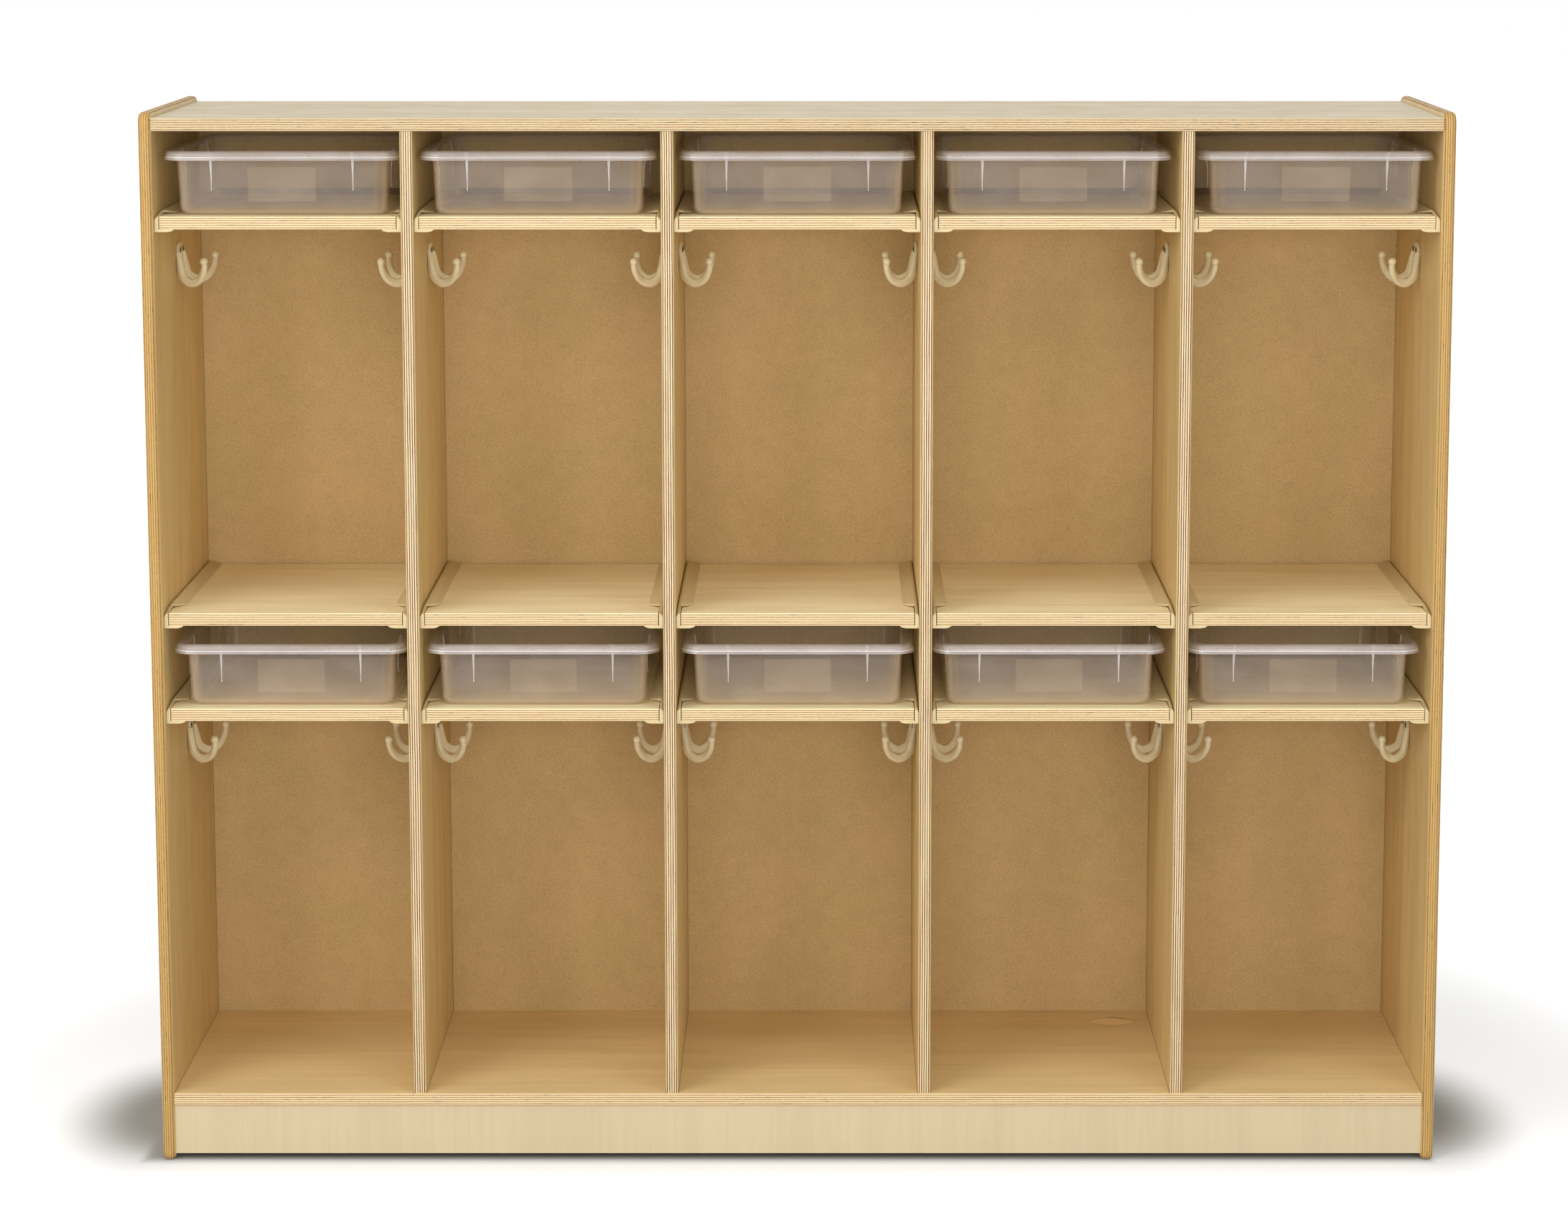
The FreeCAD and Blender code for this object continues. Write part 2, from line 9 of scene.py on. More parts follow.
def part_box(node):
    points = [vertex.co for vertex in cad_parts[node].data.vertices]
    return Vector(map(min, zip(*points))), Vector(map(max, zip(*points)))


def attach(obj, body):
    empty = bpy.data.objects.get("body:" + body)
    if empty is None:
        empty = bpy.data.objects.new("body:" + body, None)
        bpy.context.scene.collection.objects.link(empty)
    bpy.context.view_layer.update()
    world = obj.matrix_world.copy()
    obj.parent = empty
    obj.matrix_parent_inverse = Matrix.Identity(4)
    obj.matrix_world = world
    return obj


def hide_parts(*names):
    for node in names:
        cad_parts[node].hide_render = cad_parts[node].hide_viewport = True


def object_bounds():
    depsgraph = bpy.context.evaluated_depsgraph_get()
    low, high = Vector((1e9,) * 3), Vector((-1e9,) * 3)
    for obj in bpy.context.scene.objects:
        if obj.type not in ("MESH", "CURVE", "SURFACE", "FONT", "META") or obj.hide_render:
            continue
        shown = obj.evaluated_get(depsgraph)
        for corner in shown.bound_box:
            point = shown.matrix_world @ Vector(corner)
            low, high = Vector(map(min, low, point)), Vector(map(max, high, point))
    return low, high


bl_info = {
    "name": "Cubby storage unit",
    "version": (1, 0, 0),
    "blender": (4, 5, 0),
    "location": "3D View > Sidebar > Cubby unit",
    "description": "Finishes a plywood cubby unit: its boards, brackets, coat hooks and trays",
    "category": "Object",
}

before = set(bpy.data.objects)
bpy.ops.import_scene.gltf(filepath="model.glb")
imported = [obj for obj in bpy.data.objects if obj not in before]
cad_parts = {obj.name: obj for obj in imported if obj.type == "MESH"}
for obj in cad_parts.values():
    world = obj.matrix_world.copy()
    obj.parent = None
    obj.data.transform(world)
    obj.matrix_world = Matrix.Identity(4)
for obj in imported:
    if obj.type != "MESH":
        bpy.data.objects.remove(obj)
cad_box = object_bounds()

X, Y, Z = range(3)
BAYS = range(1, 6)
ROWS = ("upper", "lower")
SHELF_KINDS = ("upper_tray_shelf", "middle_shelf", "lower_tray_shelf")
# The boards that lie level, and the toe board and the rail that stand on edge below: the
# axes of their thickness and their grain, the colours of their face and their pale plies, and
# how lively their figure is
LEVEL_BOARDS = (
    ("top_panel", Z, X, "birch", "top_ply", 1.0),
    ("bottom_panel", Z, X, "floor_birch", "pale_ply", 0.7),
    ("toe_board", Y, Z, "toe_birch", "pale_ply", 0.4),
    ("rear_rail", Y, X, "warm_birch", "pale_ply", 1.0),
)
SHELF_CONTRAST = 0.8
# Where each group's random patterns start, and the step from one board to the next
UPRIGHT_SEEDS, SHELF_SEEDS, LEVEL_SEEDS = (0.0, 11.0), (40.0, 7), (90.0, 9)
CABINET = "cabinet"


def linear(red, green, blue):
    """A colour written as 0 to 255, as Blender holds it."""
    shares = [part / 255 for part in (red, green, blue)]
    return tuple(((part + 0.055) / 1.055) ** 2.4 for part in shares)


def opaque(colour):
    """The same colour with an alpha of one."""
    return (*colour[:3], 1.0)


def shaded(colour, share):
    """A colour made darker or lighter, and a little warmer as it darkens."""
    warmth = (share ** 0.9, share, share ** 1.15)
    return tuple(part * keep for part, keep in zip(colour, warmth))


def length(name, text, default):
    """A size in metres."""
    return FloatProperty(name=name, description=text, default=default, min=0, unit="LENGTH",
                         precision=4)


def share(name, text, default):
    """A share from nought to one."""
    return FloatProperty(name=name, description=text, default=default, min=0, max=1,
                         subtype="FACTOR")


def colour(name, text, *default):
    """A colour, given as 0 to 255."""
    return FloatVectorProperty(name=name, description=text, default=linear(*default),
                               min=0, max=1, subtype="COLOR")


class CubbyColours(bpy.types.PropertyGroup):
    """The colours and gloss of the unit's finishes."""

    birch: colour("Birch face", "Face veneer of the top panel", 218, 199, 161)
    # A slightly darker copy of the birch face: painted shade for the strong front light on the toe
    # board
    toe_birch: colour("Toe birch", "Face veneer of the toe board", 210, 192, 156)
    warm_birch: colour("Inner birch", "Face veneer of the upright boards", 219, 190, 131)
    # Lighter than the other birch: partly the shelves' own paler veneer, partly painted light for the
    # light and sheen on the shelf tops
    shelf_birch: colour("Shelf birch", "Face veneer of the shelves", 254, 237, 193)
    # Lighter than the top's birch: partly the bottom panel's own veneer, partly painted light for the
    # light on the bays' floors
    floor_birch: colour("Bottom birch", "Face veneer of the bottom panel", 233, 204, 148)
    pale_ply: colour("Pale ply", "Pale plies that show at an edge", 229, 206, 162)
    # A darker copy of the pale ply: painted shade for the stronger light on the top panel's edge
    top_ply: colour("Top ply", "Pale plies at the edge of the top panel", 207, 187, 148)
    side_ply: colour("Side ply", "Pale plies at the edge of a side panel", 198, 162, 93)
    core: colour("Divider core", "Brown plies at the edge of a divider", 104, 62, 30)
    side_core: colour("Side core", "Brown plies at the edge of a side panel", 158, 112, 60)
    level_core: colour("Level core", "Brown plies at the edge of a level board", 168, 122, 72)
    # Also the colour of the painted shade lines where the walls meet the back and the bottom
    void: colour("Ply gap", "Small gaps between the plies", 44, 28, 16)
    hardboard: colour("Hardboard", "Brown fibre back", 205, 173, 120)
    hook: colour("Hook moulding", "Pale beige plastic of the coat hooks", 232, 219, 182)
    bracket: colour("Bracket moulding", "Beige plastic of the shelf brackets", 215, 195, 149)
    tray: colour("Tray plastic", "Milky clear trays", 232, 215, 202)
    tray_rim: colour("Tray rim", "The thicker plastic of a tray's rim", 206, 195, 188)
    # Besides the ribs' own milky plastic, on the rim's band this is a painted highlight line
    tray_rib: colour("Tray rib", "The milky plastic of the ribs and of the rim's band", 232, 228, 224)
    tray_corner: colour("Tray corner", "The warm plastic round a tray's corners", 224, 204, 180)
    steel: colour("Screws", "Dark plated screws", 96, 90, 84)
    beech: colour("Dowels", "Beech dowels", 214, 176, 128)
    wall_veil: share("Tray wall veil", "How much of the light one face of a tray stops", 0.12)
    rim_veil: share("Tray rim veil", "The same for the thicker rim", 0.40)
    rib_veil: share("Tray rib veil", "The same for the milky ribs", 0.6)
    corner_veil: share("Tray corner veil", "The same for the rounded corners", 0.16)
    corner_edge: share("Tray corner edge", "What a corner stops besides where it turns away", 0.20)
    frosted: colour("Label field", "Frosted field on a tray's front", 220, 198, 168)
    label_veil: share("Label veil", "How much of the light the label field stops", 0.08)
    # The floor's lighter, warmer colour is painted light for the lit shelf seen through it; its
    # higher veil also catches the lamps' real light
    tray_base: colour("Tray base", "The tray's floor, which gathers light", 244, 222, 182)
    base_veil: share("Tray base veil", "How much of the light one face of the floor stops", 0.20)
    # The rear wall's warmer, lighter colour is painted light for the lit back seen through it
    tray_rear: colour("Tray rear", "The tray's rear wall", 236, 204, 156)
    rear_veil: share("Tray rear veil", "How much of the light one face of it stops", 0.12)
    # The rear foot's dim colour is painted shade, for the dark gap behind a tray
    foot: colour("Tray foot", "The dim rounded edge at a tray's rear", 96, 80, 70)
    foot_veil: share("Foot veil", "How much of the light that edge stops", 0.40)
    edge_veil: share("Tray edge veil", "What a face that is seen along its length stops", 0.22)
    gloss: share("Lacquer roughness", "Roughness of the lacquered veneer", 0.42)


class CubbySizes(bpy.types.PropertyGroup):
    """The sizes of the moulded pieces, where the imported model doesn't give them."""

    plies: IntProperty(name="Plies", description="Layers in a board", default=11, min=3)
    web: length("Bracket web", "Thickness of a bracket at the wall", 0.005)
    shelf_play: length("Shelf play", "Gap between a shelf and a bracket's web", 0.001)
    wall_play: length("Wall play", "Gap between a bracket and its wall", 0.0004)
    lower_flange: length("Lower flange", "Thickness under the shelf", 0.003)
    upper_flange: length("Upper flange", "Thickness of the spring flange", 0.0026)
    flange_rise: length("Flange rise", "Height of the spring flange's root above the shelf", 0.0024)
    flange_start: length("Flange start", "Where the spring flange starts, from the front", 0.035)
    flange_stop: length("Flange stop", "Where it stops, from the back", 0.010)
    bracket_reach: length("Bracket reach", "How far the lower flange leaves the web", 0.0175)
    flange_reach: length("Flange reach", "How far the spring flange leaves the web", 0.0135)
    bracket_toe: length("Bracket toe", "Width of the thinned toe below", 0.008)
    bracket_nose: length("Bracket nose", "Radius of the web's front corner", 0.009)
    bracket_brow: length("Bracket brow", "How much lower the web is at its front", 0.005)
    bracket_shoulder: length("Bracket shoulder", "Height of the web's round edge at the wall", 0.0055)
    flange_sweep: length("Flange sweep", "How far the flange's tip starts behind its root", 0.020)
    pad: length("Hook pad", "Thickness of a hook's pad", 0.0042)
    pad_width: length("Pad width", "Width of a hook's pad at its foot", 0.032)
    pad_crown: length("Pad crown", "Width of the pad's round top", 0.030)
    pad_height: length("Pad height", "Height of a hook's pad", 0.036)
    pad_arch: length("Pad arch", "Rise of the pad's hollow foot", 0.009)
    hook_reach: length("Hook reach", "Distance of a ball from the wall", 0.0375)
    hook_spread: length("Hook spread", "Half the distance between the balls", 0.046)
    hook_drop: length("Hook drop", "Depth of an arm's low point", 0.053)
    arm_depth: length("Arm depth", "Thickness of an arm, seen from its side", 0.0105)
    arm_width: length("Arm width", "Thickness of an arm, seen from its end", 0.0074)
    ball: length("Hook ball", "Diameter of an arm's ball", 0.0096)
    tray_wall: length("Tray wall", "Thickness of a tray's wall", 0.002)
    tray_overhang: length("Tray rim", "Width of a tray's rim", 0.0142)
    tray_draft: length("Tray draft", "How far a tray's wall leans", 0.003)
    tray_corner: length("Tray corner", "Corner radius of a tray's walls", 0.016)
    floor_round: length("Floor edge", "Radius round a tray's floor", 0.009)
    rim_corner: length("Rim corner", "Corner radius of a tray's rim", 0.024)
    rim_lip: length("Rim lip", "Depth of the rim's lip", 0.011)
    rim_round: length("Rim edge", "Radius of the rim's rolled upper edge", 0.0056)
    rim_band: length("Rim band", "Height of the raised band round the rim's lip", 0.0015)
    rim_band_drop: length("Rim band place", "From the rim's top down to that band", 0.0069)
    rim_step: length("Rim step", "How far the lip stands out below the band", 0.0006)
    rim_flare: length("Rim flare", "How far the foot of the rim's lip leans out", 0.0006)
    rim_root: length("Rim root", "Radius where a tray's wall meets its rim", 0.003)
    rib_gap: length("Rib distance", "Distance between two front ribs", 0.165)
    side_rib_gap: length("Side rib distance", "Distance between two side ribs", 0.190)
    rib_width: length("Rib width", "Width of a tray's front rib", 0.0044)
    slim_rib: length("Slim rib", "Width of the ribs on a tray's other walls", 0.0014)
    rib_height: length("Rib height", "How far a front rib stands out", 0.0022)
    slim_height: length("Slim rib height", "How far the other ribs stand out", 0.0008)
    rib_drop: length("Rib drop", "Length of a rib from the rim's top", 0.0456)
    label_width: length("Label width", "Width of the label field", 0.079)
    label_height: length("Label height", "Height of the label field", 0.040)
    label_drop: length("Label drop", "From the rim down to the label field", 0.008)
    label_rise: length("Label rise", "How far the label field stands out", 0.0004)


def colours():
    """The colours that the user has set."""
    return bpy.context.scene.cubby_colours


def sizes():
    """The sizes that the user has set."""
    return bpy.context.scene.cubby_sizes


# Finishes


class Value:
    """A number that a shader works out at each point. It is summed as plain numbers are."""

    def __init__(self, tree, socket):
        self.tree, self.socket = tree, socket

    def __add__(self, other):
        return self.tree.calc("ADD", self, other)

    def __sub__(self, other):
        return self.tree.calc("SUBTRACT", self, other)

    def __rsub__(self, other):
        return self.tree.calc("SUBTRACT", other, self)

    def __mul__(self, other):
        return self.tree.calc("MULTIPLY", self, other)

    def __truediv__(self, other):
        return self.tree.calc("DIVIDE", self, other)

    def __abs__(self):
        return self.tree.calc("ABSOLUTE", self)


class Tree:
    """The nodes of a material or of the world."""

    def __init__(self, holder):
        holder.use_nodes = True
        self.nodes, self.links = holder.node_tree.nodes, holder.node_tree.links

    def node(self, kind, inputs=None, **settings):
        """Add a node with its settings and inputs."""
        made = self.nodes.new(kind)
        for setting, value in settings.items():
            setattr(made, setting, value)
        for socket, value in (inputs or {}).items():
            self.feed(made.inputs[socket], value)
        return made

    def feed(self, socket, value):
        """Link a socket to another, or set it."""
        value = value.socket if isinstance(value, Value) else value
        if isinstance(value, bpy.types.NodeSocket):
            self.links.new(value, socket)
        else:
            socket.default_value = value

    def calc(self, operation, *values):
        """A sum on numbers, values or sockets."""
        made = self.node("ShaderNodeMath", dict(enumerate(values)), operation=operation)
        return Value(self, made.outputs[0])


class Finish(Tree):
    """A procedural finish, built up node by node. Its grain sizes are in metres."""

    def __init__(self, name, roughness, **sockets):
        self.material = bpy.data.materials.new(name)
        super().__init__(self.material)
        self.shader = self.nodes["Principled BSDF"]
        for socket, value in {"Roughness": roughness, **sockets}.items():
            self.give(socket.replace("_", " "), value)
        self.place = self.node("ShaderNodeTexCoord").outputs["Object"]
        axes = self.node("ShaderNodeSeparateXYZ", {0: self.place}).outputs
        self.axes = [Value(self, axis) for axis in axes]

    def noise(self, grain, seed, detail=3.0, rough=0.5, bend=0.0):
        """Noise whose grains have the given size, or the given sizes along X, Y and Z."""
        grain = grain if isinstance(grain, tuple) else (grain,) * 3
        scale = tuple(1 / size for size in grain)
        where = self.node("ShaderNodeMapping", {"Vector": self.place, "Scale": scale,
                                                "Location": (seed, seed * 1.7, seed * 2.3)})
        made = self.node("ShaderNodeTexNoise", {
            "Vector": where.outputs[0], "Scale": 1.0, "Detail": detail, "Roughness": rough,
            "Distortion": bend})
        return Value(self, made.outputs["Fac"])

    def ramp(self, value, low, high, first=0.0, last=1.0):
        """Ease a value from one number to another between two limits."""
        made = self.node("ShaderNodeMapRange", {
            "Value": value, "From Min": low, "From Max": high, "To Min": first, "To Max": last},
            interpolation_type="SMOOTHSTEP")
        return Value(self, made.outputs[0])

    def mix(self, factor, first, second):
        """Mix two colours."""
        values = {0: factor, 6: first, 7: second}
        values = {socket: opaque(value) if isinstance(value, tuple) else value
                  for socket, value in values.items()}
        return self.node("ShaderNodeMix", values, data_type="RGBA").outputs[2]

    def give(self, socket, value):
        """Give one of the shader's sockets its value."""
        self.feed(self.shader.inputs[socket], value)

    def bump(self, height, depth):
        """Raise the surface by a depth in metres where the height is one."""
        made = self.node("ShaderNodeBump", {"Height": height, "Strength": 1.0, "Distance": depth})
        self.give("Normal", made.outputs[0])

    def paint(self, colour):
        """Give the surface its colour."""
        self.give("Base Color", colour)
        return self.material


def along(axis, fine, long):
    """A grain that is long on one axis and fine on the others."""
    grain = [fine] * 3
    grain[axis] = long
    return tuple(grain)


# The veneer's figure, streaks and pores: their sizes across and along the grain
FIGURE, STREAK, PORE = (0.045, 0.42), (0.0065, 0.16), (0.0011, 0.011)


def veneer(finish, tone, grain, seed, contrast):
    """Birch veneer: broad figure, fine streaks and short pores along the grain."""
    broad = finish.noise(along(grain, *FIGURE), seed, 3.0, 0.55, 0.6)
    streak = finish.noise(along(grain, *STREAK), seed + 7, 4.0, 0.6)
    pore = finish.noise(along(grain, *PORE), seed + 13, 2.0)
    figure = broad * 0.55 + streak * 0.45
    face = finish.mix(finish.ramp(figure, 0.36, 0.64), shaded(tone, 1 - 0.14 * contrast),
                      shaded(tone, 1 + 0.04 * contrast))
    pores = finish.ramp(pore, 0.60, 0.78, 0.0, 0.30 * contrast)
    return finish.mix(pores, face, shaded(tone, 0.72)), pore


# How much of a pair of plies the brown one takes, in dividers, side panels and level boards
STRONG, MEDIUM, FAINT = 0.38, 0.34, 0.30
# The plies' waves, their changing width, their flesh and the gaps in them: the sizes of each
# along the board and through it
WAVE, SWELL, FLESH, GAP = (0.055, 0.5), (0.07, 0.002), (0.004, 0.0009), (0.020, 0.0027)
# How far the waves move a ply, as a share of the board's thickness
WAVE_HEIGHT = 0.06
# The least and the most of its share that a brown ply takes, and how soft its border is
PLY_WIDTHS, PLY_BORDER = (0.38, 0.62), 0.025
# The count of pairs of plies at the board's low face, whose fraction sets where a pair starts
FIRST_PLY = 3.75
# Where the plies end and the face veneer starts, from the middle, as shares of the thickness
PLIES_END, VENEER_START = 0.435, 0.45
# The depth of the relief that the plies and the pores give
PLY_RELIEF = 0.00012


def plywood(name, box, thin, grain, tone, plies, seed, contrast=1.0):
    """Plywood: pale and brown plies through the thickness, and a veneer on both faces.

    The plies are the pale and the brown tone at an edge, and the brown one's share of a pair.
    """
    pale_tone, brown_tone, brown_share = plies
    low, high = box
    thickness = high[thin] - low[thin]
    finish = Finish(name, colours().gloss, Specular_IOR_Level=0.4)
    face, pore = veneer(finish, tone, grain, seed, contrast)
    waves = (finish.noise(along(thin, *WAVE), seed + 3, 2.0) - 0.5) * (thickness * WAVE_HEIGHT)
    depth = finish.axes[thin] - low[thin] + waves
    pairs = sizes().plies / 2
    ply = depth * (pairs / thickness) + FIRST_PLY
    ripple = abs(finish.calc("FRACT", ply) - 0.5)
    width = finish.noise(along(thin, *SWELL), seed + 5)
    width = finish.ramp(width, 0.3, 0.7, *(brown_share * most for most in PLY_WIDTHS))
    off_middle = abs(depth - thickness / 2)
    inside = finish.ramp(off_middle, thickness * PLIES_END, thickness * VENEER_START, 1.0, 0.0)
    brown = finish.ramp(width - ripple, -PLY_BORDER, PLY_BORDER) * inside
    flesh = finish.ramp(finish.noise(along(thin, *FLESH), seed + 17, 4.0, 0.65), 0.34, 0.66)
    pale = finish.mix(flesh, shaded(pale_tone, 0.92), shaded(pale_tone, 1.04))
    face = finish.mix(inside, face, pale)
    cross = finish.mix(flesh, shaded(brown_tone, 0.72), shaded(brown_tone, 1.25))
    gap = finish.ramp(finish.noise(along(thin, *GAP), seed + 23, 1.0), 0.66, 0.69)
    gap *= finish.ramp(ripple, 0.06, 0.13, 1.0, 0.0)
    cross = finish.mix(gap, cross, opaque(colours().void))
    finish.bump(brown * -0.5 - pore * 0.35 - gap, PLY_RELIEF)
    gloss = finish.ramp(finish.noise(0.05, seed + 31), 0.3, 0.7,
                        colours().gloss - 0.05, colours().gloss + 0.06)
    finish.give("Roughness", gloss + brown * 0.15)
    return finish, finish.mix(brown, face, cross)


# The veneer patch on the bottom panel: its place from the middle of the front edge, and its
# length and width
PATCH_PLACE, PATCH_SIZE = (0.397, 0.319), (0.060, 0.033)


def patched(finish, face, tone):
    """A boat-shaped patch let into the face, with a dark crack along its rear edge."""
    across = (finish.axes[X] - PATCH_PLACE[X]) / (PATCH_SIZE[X] / 2)
    inward = (finish.axes[Y] - (cad_box[0][Y] + PATCH_PLACE[Y])) / (PATCH_SIZE[Y] / 2)
    inside = 1.0 - across * across - abs(inward)
    face = finish.mix(finish.ramp(inside, -0.6, 0.0, 0.0, 0.40), face, shaded(tone, 0.62))
    face = finish.mix(finish.ramp(inside, -0.03, 0.05), face, shaded(tone, 1.10))
    crack = finish.ramp(abs(inside + 0.12), 0.05, 0.12, 0.75, 0.0)
    crack *= finish.ramp(inward, 0.5, 0.7) * finish.ramp(across, -0.25, 0.1)
    return finish.mix(crack, face, opaque(colours().void))


# How far below its surface a point still counts as on a board's face
FACE_MARGIN = 0.0005
# How wide the lines of painted shade in the corners between the boards are, where they fade
# out, and how dark they are
CORNER_SHADE_WIDTH, CORNER_SHADE_FADE, CORNER_SHADE_DARKNESS = 0.0003, 0.0010, 0.6


def hardboard():
    """Brown fibre board: a soft cloud of olive and pink, and fine fibre specks."""
    finish = Finish("hardboard", 0.62, Specular_IOR_Level=0.3)
    tone = colours().hardboard
    blotch = finish.noise((0.12, 0.12, 0.16), 2.0, 2.0, 0.5)
    cloud = finish.noise(0.018, 5.0, 2.0, 0.5)
    fibre = finish.noise(0.0019, 9.0, 3.0, 0.7)
    speck = finish.noise(0.0026, 12.0, 1.0)
    blend = blotch * 0.16 + cloud * 0.14 + fibre * 0.70
    face = finish.mix(finish.ramp(blend, 0.36, 0.64), shaded(tone, 0.74), shaded(tone, 1.16))
    olive = (tone[0] * 0.95, tone[1] * 1.04, tone[2] * 0.94)
    pink = (tone[0] * 1.02, tone[1] * 0.98, tone[2] * 1.01)
    tint = finish.mix(finish.ramp(blotch, 0.35, 0.65), olive, pink)
    face = finish.mix(0.35, face, tint)
    face = finish.mix(finish.ramp(speck, 0.68, 0.78, 0.0, 0.45), face, shaded(tone, 0.5))
    finish.bump(fibre, 0.00015)
    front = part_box("back_panel")[0].y + FACE_MARGIN
    front = finish.calc("LESS_THAN", finish.axes[Y], front)
    # Thin lines of painted shade go where the walls meet the back
    return finish.paint(with_painted_corner_shade(finish, face, front))


def with_painted_corner_shade(finish, face, near_face):
    """The face with thin lines of painted shade where the walls of each bay meet it."""
    low_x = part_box("left_side_panel")[1].x
    first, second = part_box("divider_1"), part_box("divider_2")
    pitch, bay = second[0].x - first[0].x, first[0].x - low_x
    off_left = finish.calc("FRACT", (finish.axes[X] - low_x) / pitch) * pitch
    near = finish.calc("MINIMUM", off_left, abs(off_left - bay))
    line = finish.ramp(near, CORNER_SHADE_WIDTH, CORNER_SHADE_FADE, CORNER_SHADE_DARKNESS, 0.0) * near_face
    return finish.mix(line, face, opaque(colours().void))


def moulding(name, tone):
    """Satin beige plastic with a faint flow mottle and a fine grain."""
    finish = Finish(name, 0.34, Specular_IOR_Level=0.5)
    flow = finish.noise(0.016, 4.0, 3.0)
    grain = finish.noise(0.0006, 6.0, 2.0)
    face = finish.mix(finish.ramp(flow, 0.3, 0.7), shaded(tone, 0.95), shaded(tone, 1.03))
    finish.bump(grain, 0.00002)
    finish.give("Roughness", finish.ramp(flow, 0.3, 0.7, 0.30, 0.40))
    return finish.paint(face)


def tray_plastic(name, tone, veil, roughness, gleam=0.5, turned=0.0):
    """Milky plastic that lets most light through, more so where it is seen square on."""
    finish = Finish(name, roughness, Specular_IOR_Level=gleam, IOR=1.5)
    cloud = finish.noise((0.05, 0.05, 0.03), 3.0, 2.0)
    scuff = finish.noise((0.0030, 0.0030, 0.0007), 8.0, 1.0)
    scuffs = finish.ramp(scuff, 0.76, 0.80)
    face = finish.mix(finish.ramp(cloud, 0.3, 0.7), shaded(tone, 0.96), shaded(tone, 1.0))
    cover = finish.ramp(cloud, 0.3, 0.7, veil * 0.9, veil * 1.1)
    if turned:
        edge = finish.node("ShaderNodeLayerWeight", {"Blend": 0.5}).outputs["Facing"]
        edge = finish.ramp(edge, 0.04, 0.38, 0.0, turned)
    else:
        edge = finish.node("ShaderNodeLayerWeight", {"Blend": 0.12}).outputs["Facing"]
        edge = finish.ramp(edge, 0.6, 1.0, 0.0, max(colours().edge_veil - veil, 0.05))
    finish.give("Alpha", cover + edge + scuffs * 0.10)
    finish.bump(cloud, 0.0003)
    return finish.paint(face)


def screw_steel():
    """Dark plated steel with a faint stain."""
    finish = Finish("screw_steel", 0.32, Metallic=1.0)
    tone = colours().steel
    stain = finish.noise(0.0014, 3.0)
    face = finish.mix(finish.ramp(stain, 0.35, 0.65), shaded(tone, 0.6), shaded(tone, 1.5))
    finish.give("Roughness", finish.ramp(stain, 0.3, 0.7, 0.22, 0.42))
    finish.bump(stain, 0.00003)
    return finish.paint(face)


def beech():
    """Plain beech with short dark flecks."""
    finish = Finish("beech_dowel", 0.6)
    tone = colours().beech
    fleck = finish.noise((0.0012, 0.0012, 0.004), 3.0)
    finish.bump(fleck, 0.00005)
    face = finish.mix(finish.ramp(fleck, 0.5, 0.7), opaque(tone), shaded(tone, 0.7))
    return finish.paint(face)


def seed_of(place, seeds):
    """The seed of a board's random patterns, from its place in its group."""
    start, step = seeds
    return start + place * step


def dress(node, material):
    """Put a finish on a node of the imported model, in place of its own."""
    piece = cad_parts[node]
    piece.data.materials.clear()
    piece.data.materials.append(material)


# Modelling


def add(name, primitive, **settings):
    """Add a primitive as a new piece and enter edit mode."""
    bpy.ops.object.select_all(action="DESELECT")
    primitive(**settings)
    piece = bpy.context.object
    piece.name = name
    piece.data.name = name
    bpy.ops.object.transform_apply(location=True, rotation=True, scale=True)
    bpy.ops.object.mode_set(mode="EDIT")
    return piece


def cube(name, low, high):
    """Start a piece from a box between two corners."""
    middle = [(first + last) / 2 for first, last in zip(low, high)]
    size = [last - first for first, last in zip(low, high)]
    return add(name, bpy.ops.mesh.primitive_cube_add, size=1, location=middle, scale=size)


def pick(kind, test):
    """In edit mode, select the vertices, edges or faces that pass a test."""
    bpy.ops.mesh.select_mode(type=kind)
    bpy.ops.mesh.select_all(action="DESELECT")
    cage = bmesh.from_edit_mesh(bpy.context.object.data)
    cage.normal_update()
    for part in {"VERT": cage.verts, "EDGE": cage.edges, "FACE": cage.faces}[kind]:
        part.select_set(bool(test(part)))
    cage.select_flush_mode()
    bmesh.update_edit_mesh(bpy.context.object.data)


# How near two places count as one, how square on a face looks along an axis, and the angle
# under which an edge is shaded smooth
NEAR, SQUARE_ON, SMOOTH = 1e-5, 0.99, 40


def at(axis, value):
    """A test for parts that lie wholly in a plane square to an axis."""
    def lies_there(part):
        corners = part.verts if hasattr(part, "verts") else [part]
        return all(abs(corner.co[axis] - value) < NEAR for corner in corners)
    return lies_there


def facing(axis, sign):
    """A test for faces that look along an axis."""
    return lambda face: face.normal[axis] * sign > SQUARE_ON


def both(first, second):
    """A test for parts that pass two tests."""
    return lambda part: first(part) and second(part)


def middle_of(part):
    """The middle of an edge's or a face's corners."""
    return sum((corner.co for corner in part.verts), Vector()) / len(part.verts)


def bisect(axis, value):
    """Cut all faces of the piece with a plane square to an axis."""
    bpy.ops.mesh.select_all(action="SELECT")
    place, normal = Vector(), Vector()
    place[axis], normal[axis] = value, 1
    bpy.ops.mesh.bisect(plane_co=place, plane_no=normal)


def extrude(x=0.0, y=0.0, z=0.0):
    """Extrude what is selected by a step."""
    bpy.ops.mesh.extrude_region_move(TRANSFORM_OT_translate={"value": (x, y, z)})


def shift(x=0.0, y=0.0, z=0.0):
    """Move what is selected by a step."""
    bpy.ops.transform.translate(value=(x, y, z))


def scale(x, y, z, about=(0, 0, 0)):
    """Scale what is selected about a place."""
    bpy.ops.transform.resize(value=(x, y, z), center_override=about)


